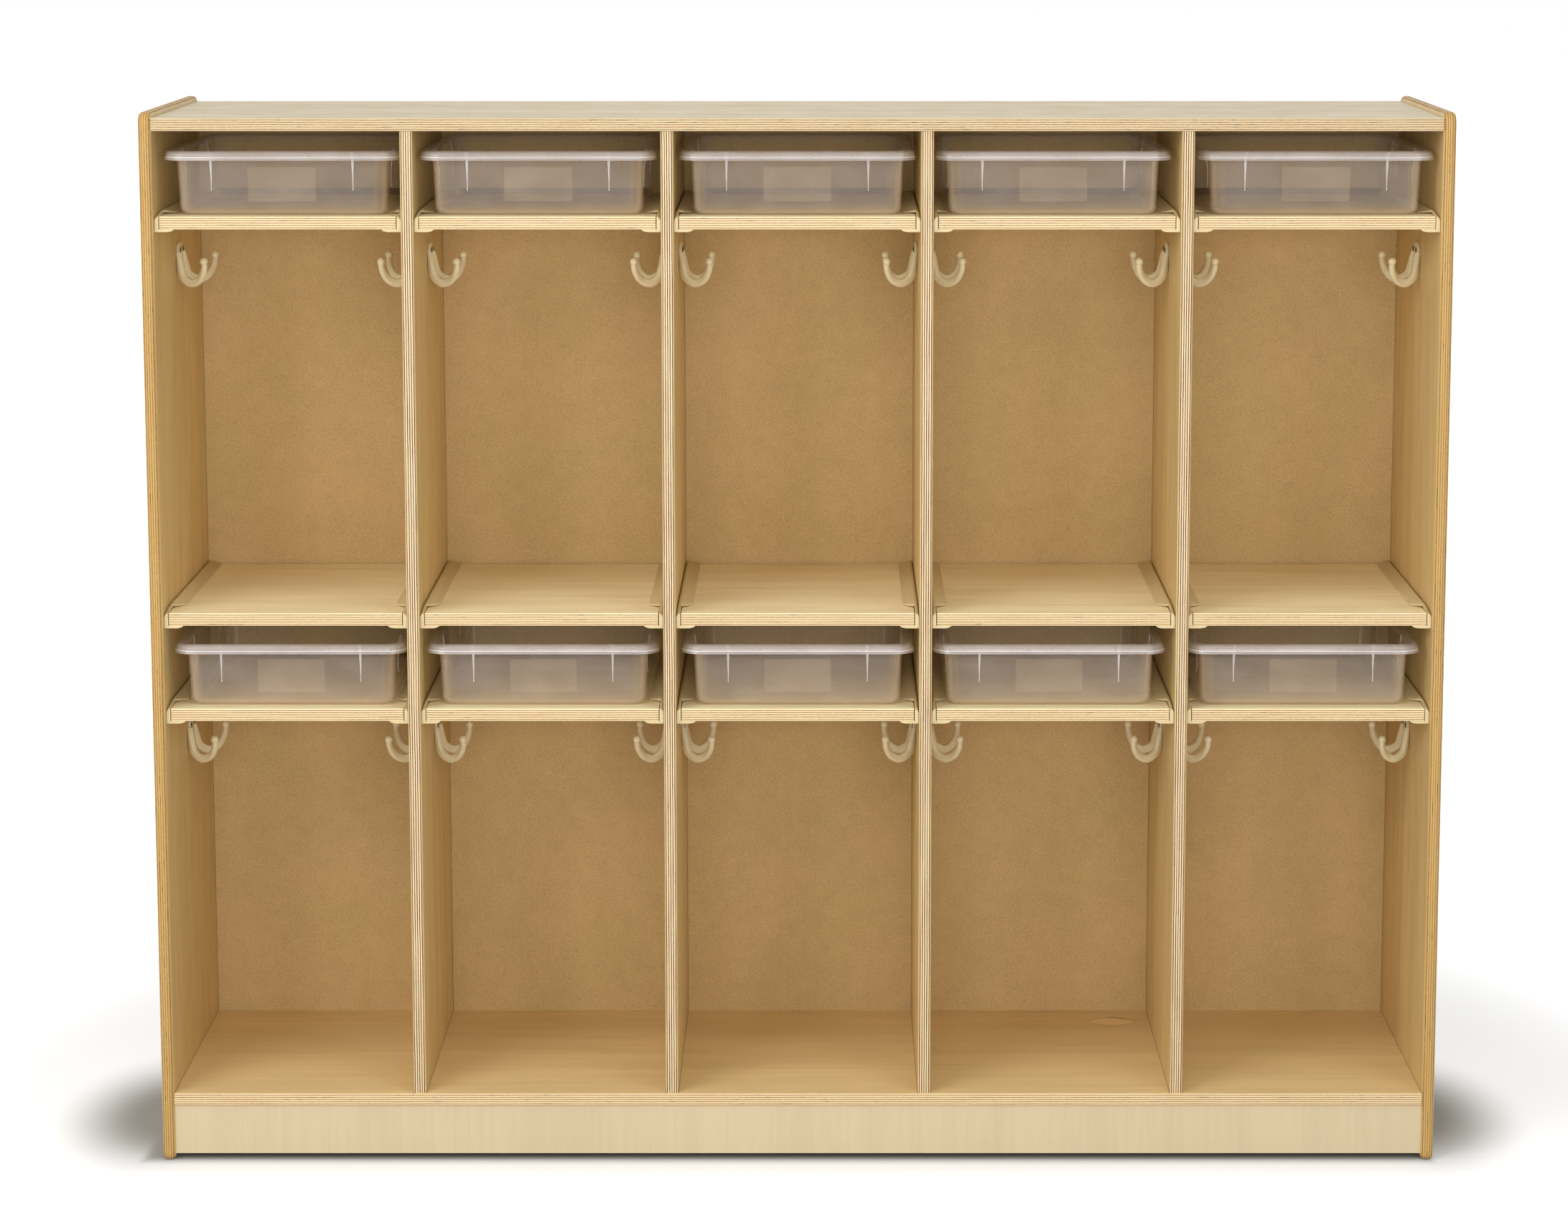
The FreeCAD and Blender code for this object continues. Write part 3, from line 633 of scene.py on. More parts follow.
def bevel(width, segments, kind="EDGES"):
    """Round what is selected."""
    bpy.ops.mesh.bevel(offset=width, segments=segments, affect=kind, clamp_overlap=True)


def mend():
    """Merge doubled corners, turn the faces outward and leave edit mode."""
    bpy.ops.mesh.select_all(action="SELECT")
    bpy.ops.mesh.remove_doubles(threshold=NEAR)
    bpy.ops.mesh.normals_make_consistent(inside=False)
    bpy.ops.object.mode_set(mode="OBJECT")


def smooth(angle=SMOOTH):
    """Shade the piece smooth over edges that turn less than an angle."""
    bpy.ops.object.shade_smooth_by_angle(angle=math.radians(angle))


def round_edges(piece, width, angle, segments=2):
    """Round the edges that turn by more than an angle."""
    modify(piece, "BEVEL", width=width, segments=segments, limit_method="ANGLE",
           angle_limit=math.radians(angle), use_clamp_overlap=True)


def close(piece, width=0.0, angle=0.0):
    """Mend a piece, round the sharp edges that are left and smooth the shading."""
    mend()
    if width:
        round_edges(piece, width, angle)
    smooth()


def modify(piece, kind, **settings):
    """Add a modifier and apply it."""
    made = piece.modifiers.new(kind.lower(), kind)
    for setting, value in settings.items():
        setattr(made, setting, value)
    bpy.ops.object.modifier_apply(modifier=made.name)


def copied(piece, name, step, turned=None):
    """A copy of a piece with a mesh of its own, moved, and turned or mirrored first."""
    mesh = piece.data.copy()
    mesh.name = name
    if turned is not None:
        mesh.transform(turned)
        if turned.determinant() < 0:
            mesh.flip_normals()
    mesh.transform(Matrix.Translation(step))
    twin = bpy.data.objects.new(name, mesh)
    bpy.context.scene.collection.objects.link(twin)
    return twin


def settle(piece, body, node):
    """Give a finished piece its body and hide the node that it stands for."""
    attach(piece, body)
    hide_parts(node)


def mirrored(left):
    """A left pattern and its mirror image, by the name of their side."""
    turn = Matrix.Scale(-1, 4, (1, 0, 0))
    return {"left": left, "right": copied(left, "right_pattern", Vector(), turn)}


def take(*pieces):
    """Select these pieces alone and make the last one active."""
    bpy.ops.object.select_all(action="DESELECT")
    for piece in pieces:
        piece.select_set(True)
    bpy.context.view_layer.objects.active = pieces[-1]


def discard(*patterns):
    """Take the patterns away once they are copied."""
    for pattern in patterns:
        bpy.data.objects.remove(pattern)


# Shelf brackets


# How the toe under a shelf thins out: each step outward, as a share of the toe, and
# how far it rises there, as a share of the flange's thickness
TOE_SHARES = ((0.35, 0.08), (0.35, 0.24), (0.30, 0.46))
# The play under the spring flange's tip, the radius of the web's rear corner, and the width
# and the least angle of the rounding of a bracket's other edges
TIP_PLAY, HEEL = 0.0003, 0.005
EDGE_ROUND, EDGE_ANGLE = 0.0006, 28
# The spring flange: each step outward and its fall, as shares of the reach and of the whole
# fall, and how much of its thickness is left there
FLANGE_SHARES = ((0.4, 0.52, 0.85), (0.35, 0.33, 0.85), (0.25, 0.15, 0.85))
# The web's round edge at the wall: each place across the web and its fall, as shares
SHOULDER_SHARES = ((0.0, 1.0), (0.12, 0.53), (0.45, 0.17))


def lowered(test, share):
    """Bring the corners above the shelf's underside that pass a test down by a share."""
    pick("VERT", lambda corner: test(corner) and corner.co.z > NEAR)
    scale(1, 1, share)


def bracket_pattern():
    """The left bracket of a shelf. X starts at the wall, Y at the front, Z under the shelf."""
    size = sizes()
    low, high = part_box("upper_tray_shelf_1")
    depth, shelf = high.y - low.y, high.z - low.z
    root = shelf + size.flange_rise
    top = root + size.upper_flange
    tip = shelf + TIP_PLAY
    piece = cube("bracket_pattern", (size.wall_play, 0, -size.lower_flange),
                 (size.web, depth, top))
    for level in (0, root):
        bisect(Z, level)
    for place in (size.flange_start, depth - size.flange_stop):
        bisect(Y, place)
    pick("FACE", lambda face: facing(X, 1)(face) and middle_of(face).z < 0)
    extrude(x=size.bracket_reach - size.bracket_toe)
    reach = size.web + size.bracket_reach - size.bracket_toe
    for run, rise in TOE_SHARES:
        extrude(x=size.bracket_toe * run)
        reach += size.bracket_toe * run
        pick("VERT", lambda corner: corner.co.x > reach - NEAR and corner.co.z < -NEAR)
        shift(z=size.lower_flange * rise)
        pick("FACE", lambda face: face.normal.x > 0.5 and middle_of(face).x > reach - NEAR
             and middle_of(face).z < 0)
    spring = (size.flange_start, depth - size.flange_stop)
    pick("FACE", lambda face: facing(X, 1)(face) and middle_of(face).z > root
         and spring[0] < middle_of(face).y < spring[1])
    front, reach = size.flange_start, size.web
    for run, fall, left in FLANGE_SHARES:
        extrude(x=size.flange_reach * run, z=(tip - root) * fall)
        reach += size.flange_reach * run
        pick("VERT", both(at(X, reach), at(Y, front)))
        shift(y=size.flange_sweep * run)
        front += size.flange_sweep * run
        pick("FACE", lambda face: facing(X, 1)(face) and at(X, reach)(face)
             and middle_of(face).z > 0)
        foot = min(corner.co.z for corner in bmesh.from_edit_mesh(piece.data).verts
                   if corner.select)
        scale(1, 1, left, (0, 0, foot))
    lowered(at(Y, 0), 1 - size.bracket_brow / top)
    pick("EDGE", both(at(Y, 0), at(Z, top - size.bracket_brow)))
    bevel(size.bracket_nose, 6)
    pick("EDGE", both(at(Y, depth), at(Z, top)))
    bevel(HEEL, 4)
    places = [size.wall_play + (size.web - size.wall_play) * run for run, _ in SHOULDER_SHARES]
    for place in places[1:]:
        bisect(X, place)
    for place, (_, fall) in zip(places, SHOULDER_SHARES):
        lowered(at(X, place), 1 - fall * size.bracket_shoulder / top)
    close(piece, EDGE_ROUND, EDGE_ANGLE)
    piece.data.materials.append(moulding("bracket_moulding", colours().bracket))
    return piece


# Coat hooks

# The arm's middle line and section, from the pad to the ball, as shares of the
# hook's reach, spread and drop, and of the arm's depth and width
ARM_SHARES = (
    (0.080, 0.34, 0.230, 0.40, 0.90),
    (0.115, 0.37, 0.370, 0.64, 1.0),
    (0.150, 0.41, 0.560, 0.86, 1.0),
    (0.235, 0.47, 0.780, 0.98, 1.0),
    (0.520, 0.59, 0.900, 1.0, 1.0),
    (0.790, 0.72, 0.820, 0.90, 0.98),
    (0.940, 0.86, 0.660, 0.76, 0.94),
    (1.000, 0.96, 0.500, 0.64, 0.88),
    (1.000, 1.00, 0.380, 0.57, 0.80),
)
ARM_STEPS = 3
# The round of an arm's corners, as a share of its thinner side
ARM_ROUND = 0.34
# How much thinner the pad is at its foot, as a share of its thickness
PAD_TAPER = 0.5
# How far down from its top the pad narrows, as a share of its height, and how much of its
# half width there the crown's round takes
PAD_NECK, CROWN_ROUND = 0.62, 0.98
# Where the hollow foot is divided, as shares of the pad's half width
FOOT_SHARES = (-0.75, -0.5, -0.25, 0, 0.25, 0.5, 0.75)
# The width and the least angle of the rounding of the pad's edges, and the angle under which
# a hook is shaded smooth
PAD_ROUND, PAD_ANGLE, HOOK_SMOOTH = 0.0014, 50, 38


def eased_rows(rows, steps):
    """Rows of numbers with more rows between them, on one smooth curve."""
    padded = [rows[0], *rows, rows[-1]]
    eased = []
    for place in range(len(rows) - 1):
        before, start, end, after = padded[place:place + 4]
        for step in range(steps):
            t = step / steps
            eased.append(tuple(
                0.5 * (2 * b + (c - a) * t + (2 * a - 5 * b + 4 * c - d) * t ** 2
                       + (3 * b - a - 3 * c + d) * t ** 3)
                for a, b, c, d in zip(before, start, end, after)))
    return eased + [rows[-1]]


def ring(place, axes, wide, deep):
    """Add a rounded rectangle about a place. Its corners are the mesh's last ones."""
    turn = Matrix(axes).transposed()
    bpy.ops.mesh.select_all(action="DESELECT")
    bpy.ops.mesh.select_mode(type="VERT")
    bpy.ops.mesh.primitive_plane_add(size=1, location=place, rotation=turn.to_euler())
    bpy.ops.transform.resize(value=(deep, wide, 1), orient_matrix=turn, center_override=place,
                             orient_matrix_type="GLOBAL")
    bevel(min(wide, deep) * ARM_ROUND, 3, "VERTICES")
    bpy.ops.mesh.delete(type="ONLY_FACE")


def hook_arm():
    """One arm as a run of bridged sections, with a ball at its tip."""
    size = sizes()
    rows = eased_rows(ARM_SHARES, ARM_STEPS)
    middles = [Vector((reach * size.hook_reach, spread * size.hook_spread,
                       -drop * size.hook_drop)) for reach, spread, drop, _, _ in rows]
    side = Vector((-size.hook_spread, size.hook_reach, 0)).normalized()
    piece = add("hook_arm", bpy.ops.mesh.primitive_plane_add, size=1)
    bpy.ops.mesh.delete(type="VERT")
    counts = [0]
    for place, middle in enumerate(middles):
        before = middles[max(place - 1, 0)]
        after = middles[min(place + 1, len(middles) - 1)]
        heading = (after - before).normalized()
        out = heading.cross(side).normalized()
        flank = heading.cross(out).normalized()
        deep = size.arm_depth * rows[place][3]
        wide = size.arm_width * rows[place][4]
        ring(middle, (out, flank, heading), wide, deep)
        counts.append(len(bmesh.from_edit_mesh(piece.data).verts))
    for start, stop in zip(counts, counts[2:]):
        pick("VERT", lambda corner: start <= corner.index < stop)
        bpy.ops.mesh.bridge_edge_loops()
    for start, stop in (counts[:2], counts[-2:]):
        pick("VERT", lambda corner: start <= corner.index < stop)
        bpy.ops.mesh.edge_face_add()
    close(piece)
    ball = add("hook_ball", bpy.ops.mesh.primitive_uv_sphere_add, segments=24, ring_count=16,
               radius=size.ball / 2, location=middles[-1])
    close(ball)
    unite(piece, ball)
    return piece


def hook_pad():
    """The pad against the wall. X leaves the wall, Y is from its middle, Z from its top."""
    size = sizes()
    half, crown = size.pad_width / 2, size.pad_crown / 2
    piece = cube("hook_pad", (0, -half, -size.pad_height), (size.pad, half, 0))
    bisect(Z, -size.pad_height * PAD_NECK)
    pick("FACE", facing(Z, 1))
    scale(1, crown / half, 1)
    pick("EDGE", lambda edge: at(Z, 0)(edge) and abs(middle_of(edge).y) > NEAR)
    bevel(crown * CROWN_ROUND, 7)
    pick("VERT", lambda corner: at(Z, -size.pad_height)(corner) and corner.co.x > NEAR)
    shift(x=-size.pad * PAD_TAPER)
    foot = [place * half for place in FOOT_SHARES]
    for place in foot:
        bisect(Y, place)
    for place in foot:
        pick("VERT", both(at(Y, place), at(Z, -size.pad_height)))
        shift(z=size.pad_arch * (1 - (place / half) ** 2))
    close(piece)
    round_edges(piece, PAD_ROUND, PAD_ANGLE, 3)
    return piece


def unite(piece, *others):
    """Join other closed pieces to a piece as one closed solid."""
    for other in others:
        take(piece)
        modify(piece, "BOOLEAN", operation="UNION", solver="EXACT", object=other)
        discard(other)


def hook_pattern():
    """A left hook: a pad and two arms that splay apart."""
    arm = hook_arm()
    twin = copied(arm, "hook_twin", Vector(), Matrix.Scale(-1, 4, (0, 1, 0)))
    piece = hook_pad()
    unite(piece, arm, twin)
    smooth(HOOK_SMOOTH)
    piece.data.materials.clear()
    piece.data.materials.append(moulding("hook_moulding", colours().hook))
    return piece


# Trays

# The finishes of a tray, in the order of its slots
WALL, RIM, RIB_AND_HIGHLIGHT, LABEL, PAINTED_SHADE_FOOT, CORNER, PAINTED_LIGHT_BASE, PAINTED_LIGHT_REAR = range(8)
# A rib's levels above its foot as shares of its length, with its width and height there
RIB_SHARES = ((0.0, 0.30, 0.15), (0.12, 0.62, 0.6), (0.45, 0.85, 1.0))
# In walls: how far below the rim's top a rib starts, how far short of the rim's edge a wide
# one stops, and how far a rib and the label field sink into the wall
RIB_TOP, RIB_STOP, RIB_SINK, LABEL_SINK = 0.5, 2, 0.4, 0.5
# How far below the rim a wide rib leaves the wall, as a share of the rim's lip, the least
# angle of the rounding of a rib's edges, and the radius of the label field's corners
RIB_TURN, RIB_ANGLE, LABEL_ROUND = 0.6, 25, 0.002
# How far down the rim's finish reaches, in walls, how level a face of the floor's edge may
# lie, and the angle under which a tray is shaded smooth
RIM_DEPTH, FLAT, TRAY_SMOOTH = 1.2, 0.97, 35


def tray_finishes():
    """The finishes of a tray, from the clear wall to the frosted label field."""
    tone = colours()
    return (
        tray_plastic("clear_plastic", tone.tray, tone.wall_veil, 0.16, 0.22),
        tray_plastic("clear_rim", tone.tray_rim, tone.rim_veil, 0.10),
        tray_plastic("milky_rib", tone.tray_rib, tone.rib_veil, 0.12),
        tray_plastic("label_field", tone.frosted, tone.label_veil, 0.5, 0.2),
        tray_plastic("clear_foot", tone.foot, tone.foot_veil, 0.2, 0.2),
        tray_plastic("warm_corner", tone.tray_corner, tone.corner_veil, 0.14, 0.4,
                     tone.corner_edge),
        tray_plastic("clear_base", tone.tray_base, tone.base_veil, 0.3, 0.2),
        tray_plastic("clear_rear", tone.tray_rear, tone.rear_veil, 0.2, 0.2),
    )


def spot(corner):
    """A corner's place, to a hundredth of a millimetre."""
    return tuple(round(value, 5) for value in corner.co)


def edge_spots():
    """The places of the corners on the open edges of the piece in edit mode."""
    cage = bmesh.from_edit_mesh(bpy.context.object.data)
    return {spot(corner) for edge in cage.edges if edge.is_boundary for corner in edge.verts}


def pick_between(spots):
    """Select the edges that run between the given places."""
    pick("EDGE", lambda edge: all(spot(corner) in spots for corner in edge.verts))


def tray_shell(low, high):
    """The tub and its rolled rim as one sheet with a real thickness."""
    size = sizes()
    wall, over, draft = size.tray_wall, size.tray_overhang, size.tray_draft
    under = high.z - wall
    tub_low = (low.x + over, low.y + over, low.z)
    tub_high = (high.x - over, high.y - over, under)
    middle = (low + high) / 2
    width, depth = tub_high[X] - tub_low[X], tub_high[Y] - tub_low[Y]
    piece = cube("tray_pattern", tub_low, tub_high)
    pick("FACE", facing(Z, -1))
    scale((width - 2 * draft) / width, (depth - 2 * draft) / depth, 1,
          (middle.x, middle.y, low.z))
    pick("EDGE", lambda edge: abs(edge.verts[0].co.z - edge.verts[1].co.z) > size.tray_corner)
    bevel(size.tray_corner, 7)
    pick("EDGE", at(Z, low.z))
    bevel(size.floor_round, 6)
    pick("FACE", facing(Z, 1))
    bpy.ops.mesh.delete(type="FACE")
    root = edge_spots()
    bpy.ops.mesh.select_mode(type="VERT")
    bpy.ops.mesh.primitive_plane_add(size=1, location=(middle.x, middle.y, under))
    spare = 2 * (wall + size.rim_step + size.rim_flare)
    wide, long = high.x - low.x - spare, high.y - low.y - spare
    scale(wide, long, 1, (middle.x, middle.y, under))
    bevel(size.rim_corner - wall, 9, "VERTICES")
    bpy.ops.mesh.delete(type="ONLY_FACE")
    pick("EDGE", at(Z, under))
    bpy.ops.mesh.bridge_edge_loops()
    roll = edge_spots()
    pick_between(roll)
    below = size.rim_lip - size.rim_band_drop - size.rim_band
    for drop, out in ((size.rim_band_drop - wall, 0.0), (size.rim_band, size.rim_step),
                      (below, size.rim_flare)):
        extrude(z=-drop)
        scale(1 + 2 * out / wide, 1 + 2 * out / long, 1, (middle.x, middle.y, under))
    pick_between(roll)
    bevel(size.rim_round - wall, 7)
    pick_between(root)
    bevel(size.rim_root, 3)
    mend()
    modify(piece, "SOLIDIFY", thickness=wall, offset=1, use_even_offset=True)
    return piece


def lean(level, low, high):
    """How far a tray's wall has leaned inward at a level."""
    return sizes().tray_draft * (high.z - level) / (high.z - low.z)


def mark_shell(piece, low, high):
    """Give the rim, its band, and the tub's rounded corners and edges their own finishes."""
    size = sizes()
    middle = (low + high) / 2
    half = [span / 2 - size.tray_overhang + size.tray_wall / 4 for span in (high - low)[:2]]
    arc = size.tray_corner
    for face in piece.data.polygons:
        place = face.center - middle
        level = face.center.z
        outside = abs(place.x) > half[X] or abs(place.y) > half[Y]
        on_rim = level > high.z - size.tray_wall * RIM_DEPTH
        rear_lip = not on_rim and place.y > half[Y] > abs(place.x)
        leant = lean(level, low, high)
        corner = abs(place.x) > half[X] - arc - leant and abs(place.y) > half[Y] - arc - leant
        rounded = low.z + NEAR < level < low.z + size.floor_round and abs(face.normal.z) < FLAT
        rear = place.y > half[Y] - size.tray_draft - size.floor_round
        below = high.z - level - size.rim_band_drop
        if rear_lip:
            continue
        # The rim's band gets the milky finish as a painted highlight line
        if outside and 0 < below < size.rim_band:
            face.material_index = RIB_AND_HIGHLIGHT
        elif on_rim or outside:
            face.material_index = RIM
        # The rounded rear edge gets the dim finish: painted shade
        elif rounded and rear:
            face.material_index = PAINTED_SHADE_FOOT
        elif rounded or corner:
            face.material_index = CORNER
        # The floor gets the lighter finish: painted light
        elif level < low.z + size.floor_round:
            face.material_index = PAINTED_LIGHT_BASE
        # The rear wall gets the warmer finish: painted light
        elif rear:
            face.material_index = PAINTED_LIGHT_REAR


def tray_rib(name, low, high, section, finish, over_rim=False):
    """A rib in the middle of the front wall, from the rim or from over it to a slim tip."""
    size = sizes()
    x, wall_y = ((low + high) / 2).x, low.y + size.tray_overhang
    width, stand_out = section
    half = width / 2
    top = high.z - size.tray_wall * RIB_TOP
    foot = top - size.rib_drop
    piece = cube(name, (x - half, wall_y - stand_out, foot),
                 (x + half, wall_y + size.tray_wall * RIB_SINK, top))
    for level, narrow, stand in RIB_SHARES:
        cut = foot + size.rib_drop * level
        inward = lean(cut, low, high)
        if level:
            bisect(Z, cut)
        pick("VERT", at(Z, cut))
        scale(narrow, 1, 1, (x, wall_y, cut))
        shift(y=inward)
        pick("VERT", lambda corner: at(Z, cut)(corner) and corner.co.y < wall_y + inward - NEAR)
        shift(y=stand_out * (1 - stand))
    if over_rim:
        bisect(Z, top - size.rim_lip * RIB_TURN)
        pick("VERT", lambda corner: at(Z, top)(corner) and corner.co.y < wall_y - NEAR)
        shift(y=size.rib_height - size.tray_overhang + size.tray_wall * RIB_STOP)
    close(piece, min(EDGE_ROUND, stand_out / 3), RIB_ANGLE)
    piece.data.materials.append(finish)
    return piece


def tray_pattern():
    """A tray at the place of the first one, with its ribs and its label field."""
    size = sizes()
    low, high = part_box("upper_tray_1")
    middle = (low + high) / 2
    piece = tray_shell(low, high)
    for finish in tray_finishes():
        piece.data.materials.append(finish)
    mark_shell(piece, low, high)
    wall_x, wall_y = (edge + size.tray_overhang for edge in low[:2])
    slots = piece.data.materials
    wide, narrow = (size.rib_width, size.rib_height), (size.slim_rib, size.slim_height)
    front = tray_rib("front_pattern", low, high, wide, slots[RIB_AND_HIGHLIGHT], over_rim=True)
    slim = tray_rib("slim_pattern", low, high, narrow, slots[RIM])
    parts = []
    centre = Matrix.Translation(middle) @ Matrix.Rotation(math.pi, 4, "Z")
    centre = centre @ Matrix.Translation(-middle)
    for sign in (-1, 1):
        step = Vector((sign * size.rib_gap / 2, 0, 0))
        rear = copied(slim, "straight_rib", step)
        parts += [copied(front, "front_rib", step), copied(rear, "rear_rib", Vector(), centre)]
        discard(rear)
    to_side = Matrix.Translation(Vector((wall_x, middle.y, 0)))
    to_side = to_side @ Matrix.Rotation(-math.pi / 2, 4, "Z")
    to_side = to_side @ Matrix.Translation(Vector((-middle.x, -wall_y, 0)))
    for sign in (-1, 1):
        rib = copied(slim, "side_rib", Vector((0, sign * size.side_rib_gap / 2, 0)), to_side)
        parts += [rib, copied(rib, "far_rib", Vector(), centre)]
    discard(front, slim)
    parts.append(label_field(low, high, slots[LABEL]))
    take(*parts, piece)
    bpy.ops.object.join()
    smooth(TRAY_SMOOTH)
    return piece


def label_field(low, high, finish):
    """The plain frosted field in the middle of the front wall, which leans with it."""
    size = sizes()
    x, wall_y = ((low + high) / 2).x, low.y + size.tray_overhang
    half = size.label_width / 2
    top = high.z - size.rim_lip - size.label_drop
    foot = top - size.label_height
    piece = cube("label_field", (x - half, wall_y - size.label_rise, foot),
                 (x + half, wall_y + size.tray_wall * LABEL_SINK, top))
    pick("EDGE", lambda edge: abs(edge.verts[0].co.y - edge.verts[1].co.y) > size.label_rise)
    bevel(LABEL_ROUND, 3)
    for sign, level in ((1, top), (-1, foot)):
        pick("VERT", lambda corner: (corner.co.z - (top + foot) / 2) * sign > 0)
        shift(y=lean(level, low, high))
    close(piece)
    piece.data.materials.append(finish)
    return piece


# Operators


class CUBBY_OT_boards(bpy.types.Operator):
    """Finish the outer boards and the dividers as birch plywood"""

    bl_idname = "cubby.boards"
    bl_label = "Boards"

    def execute(self, context):
        tone = colours()
        uprights = ["left_side_panel", "right_side_panel"]
        uprights += [f"divider_{place}" for place in BAYS[:-1]]
        for place, node in enumerate(uprights):
            plies = (tone.pale_ply, tone.core, STRONG)
            if node.endswith("side_panel"):
                plies = (tone.side_ply, tone.side_core, MEDIUM)
            finish, face = plywood(node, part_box(node), X, Z, tone.warm_birch, plies,
                                   seed_of(place, UPRIGHT_SEEDS))
            dress(node, finish.paint(face))
        for place, (node, thin, grain, paint, pale, contrast) in enumerate(LEVEL_BOARDS):
            paint = getattr(tone, paint)
            plies = (getattr(tone, pale), tone.level_core, FAINT)
            finish, face = plywood(node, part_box(node), thin, grain, paint, plies,
                                   seed_of(place, LEVEL_SEEDS), contrast)
            if node == "bottom_panel":
                face = patched(finish, face, paint)
                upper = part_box(node)[1].z - FACE_MARGIN
                upper = finish.calc("GREATER_THAN", finish.axes[Z], upper)
                # Thin lines of painted shade go where the walls meet the bottom panel
                face = with_painted_corner_shade(finish, face, upper)
            dress(node, finish.paint(face))
        return {"FINISHED"}


class CUBBY_OT_shelves(bpy.types.Operator):
    """Finish the fifteen shelves as birch plywood, one sheet for each level"""

    bl_idname = "cubby.shelves"
    bl_label = "Shelves"

    def execute(self, context):
        tone = colours()
        for place, kind in enumerate(SHELF_KINDS):
            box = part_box(f"{kind}_1")
            plies = (tone.pale_ply, tone.level_core, FAINT)
            finish, face = plywood(kind, box, Z, X, tone.shelf_birch, plies,
                                   seed_of(place, SHELF_SEEDS), SHELF_CONTRAST)
            material = finish.paint(face)
            for bay in BAYS:
                dress(f"{kind}_{bay}", material)
        return {"FINISHED"}


class CUBBY_OT_back(bpy.types.Operator):
    """Finish the back as brown hardboard"""

    bl_idname = "cubby.back"
    bl_label = "Back panel"

    def execute(self, context):
        dress("back_panel", hardboard())
        return {"FINISHED"}


class CUBBY_OT_brackets(bpy.types.Operator):
    """Model the thirty moulded shelf brackets, each where its shelf puts it"""

    bl_idname = "cubby.brackets"
    bl_label = "Shelf brackets"

    def execute(self, context):
        inset = sizes().web + sizes().shelf_play
        patterns = mirrored(bracket_pattern())
        for kind in SHELF_KINDS:
            for bay in BAYS:
                low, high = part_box(f"{kind}_{bay}")
                for side, x in (("left", low.x - inset), ("right", high.x + inset)):
                    name, step = f"{kind}_{bay}_{side}_bracket", Vector((x, low.y, low.z))
                    piece = copied(patterns[side], name, step)
                    settle(piece, CABINET, f"{side}_shelf_brackets")
        discard(*patterns.values())
        return {"FINISHED"}


class CUBBY_OT_hooks(bpy.types.Operator):
    """Model the twenty moulded coat hooks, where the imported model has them"""

    bl_idname = "cubby.hooks"
    bl_label = "Coat hooks"

    def execute(self, context):
        patterns = mirrored(hook_pattern())
        for row in ROWS:
            for bay in BAYS:
                for side, pattern in patterns.items():
                    node = f"{row}_{side}_hook_{bay}"
                    low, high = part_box(node)
                    x = low.x if side == "left" else high.x
                    step = Vector((x, (low.y + high.y) / 2, high.z))
                    piece = copied(pattern, f"{node}_moulding", step)
                    settle(piece, CABINET, node)
        discard(*patterns.values())
        return {"FINISHED"}


class CUBBY_OT_trays(bpy.types.Operator):
    """Model the ten clear trays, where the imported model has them"""

    bl_idname = "cubby.trays"
    bl_label = "Trays"

    def execute(self, context):
        pattern = tray_pattern()
        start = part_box("upper_tray_1")[0]
        for row in ROWS:
            for bay in BAYS:
                node = f"{row}_tray_{bay}"
                piece = copied(pattern, f"{node}_shell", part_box(node)[0] - start)
                settle(piece, node, node)
        discard(pattern)
        return {"FINISHED"}


class CUBBY_OT_fasteners(bpy.types.Operator):
    """Finish the screws as dark steel and the dowels as beech"""

    bl_idname = "cubby.fasteners"
    bl_label = "Screws and dowels"

    def execute(self, context):
        dress("wood_screws", screw_steel())
        dress("panel_dowels", beech())
        return {"FINISHED"}


class CUBBY_OT_stage(bpy.types.Operator):
    """Set the white floor, the soft lights and the camera"""

    bl_idname = "cubby.stage"
    bl_label = "Floor, light and camera"

    def execute(self, context):
        make_floor()
        make_world()
        make_lights()
        make_camera()
        context.scene.view_settings.view_transform = "Standard"
        context.scene.cycles.transparent_max_bounces = CLEAR_SURFACES
        return {"FINISHED"}


# Stage

FLOOR_HALF = 30.0
# The floor's colour in the open and in the shade painted beside the unit
PALE_FLOOR, PAINTED_SHADE_FLOOR = (0.74, 0.74, 0.74), (0.44, 0.44, 0.42)
FLOOR_GLOW = 0.52
# The soft shade painted on the floor's colour and glow: how far it reaches past the unit's
# sides, and from the middle to the front, where its own middle lies along X, and between
# which shares of its reach the light comes back
SHADE_SIDE, SHADE_FRONT, SHADE_PLACE = 0.157, 0.285, -0.013
SHADE_EDGE = (0.25, 1.05)
# Where the painted dark under the unit ends: between which steps from the toe board, and
# between which shares of the shade's reach at the sides
UNDER_FRONT, UNDER_SIDE = (-0.012, 0.022), (0.0, 0.12)
# How far out the floor turns plain white, and how much it glows there
WHITE_FROM, WHITE_GLOW = (0.95, 1.6), 1.1
WORLD_LIGHT = 0.30
# How many clear surfaces a ray may pass: each wall, rim and rib of a tray has two
CLEAR_SURFACES = 32
WHITE = (1.0, 1.0, 1.0, 1.0)
# Each soft box as its place, its width and height, and its power in watts
SOFT_BOXES = (
    ((-3.0, -3.7, 2.7), 3.0, 2.0, 110.0),
    ((2.7, -3.8, 2.5), 2.4, 2.0, 42.0),
    ((0.2, -5.4, 1.25), 2.6, 1.4, 82.0),
    ((0.0, -1.2, 4.2), 3.2, 2.0, 36.0),
)
AIM = (0.0, 0.0, 0.55)
CAMERA_PLACE = (0.029, -5.0065, 1.520)
CAMERA_TILT = 8.843
CAMERA_LENS, CAMERA_SENSOR = 95.52, 36.0
CAMERA_SHIFT = (-0.0244, -0.05)


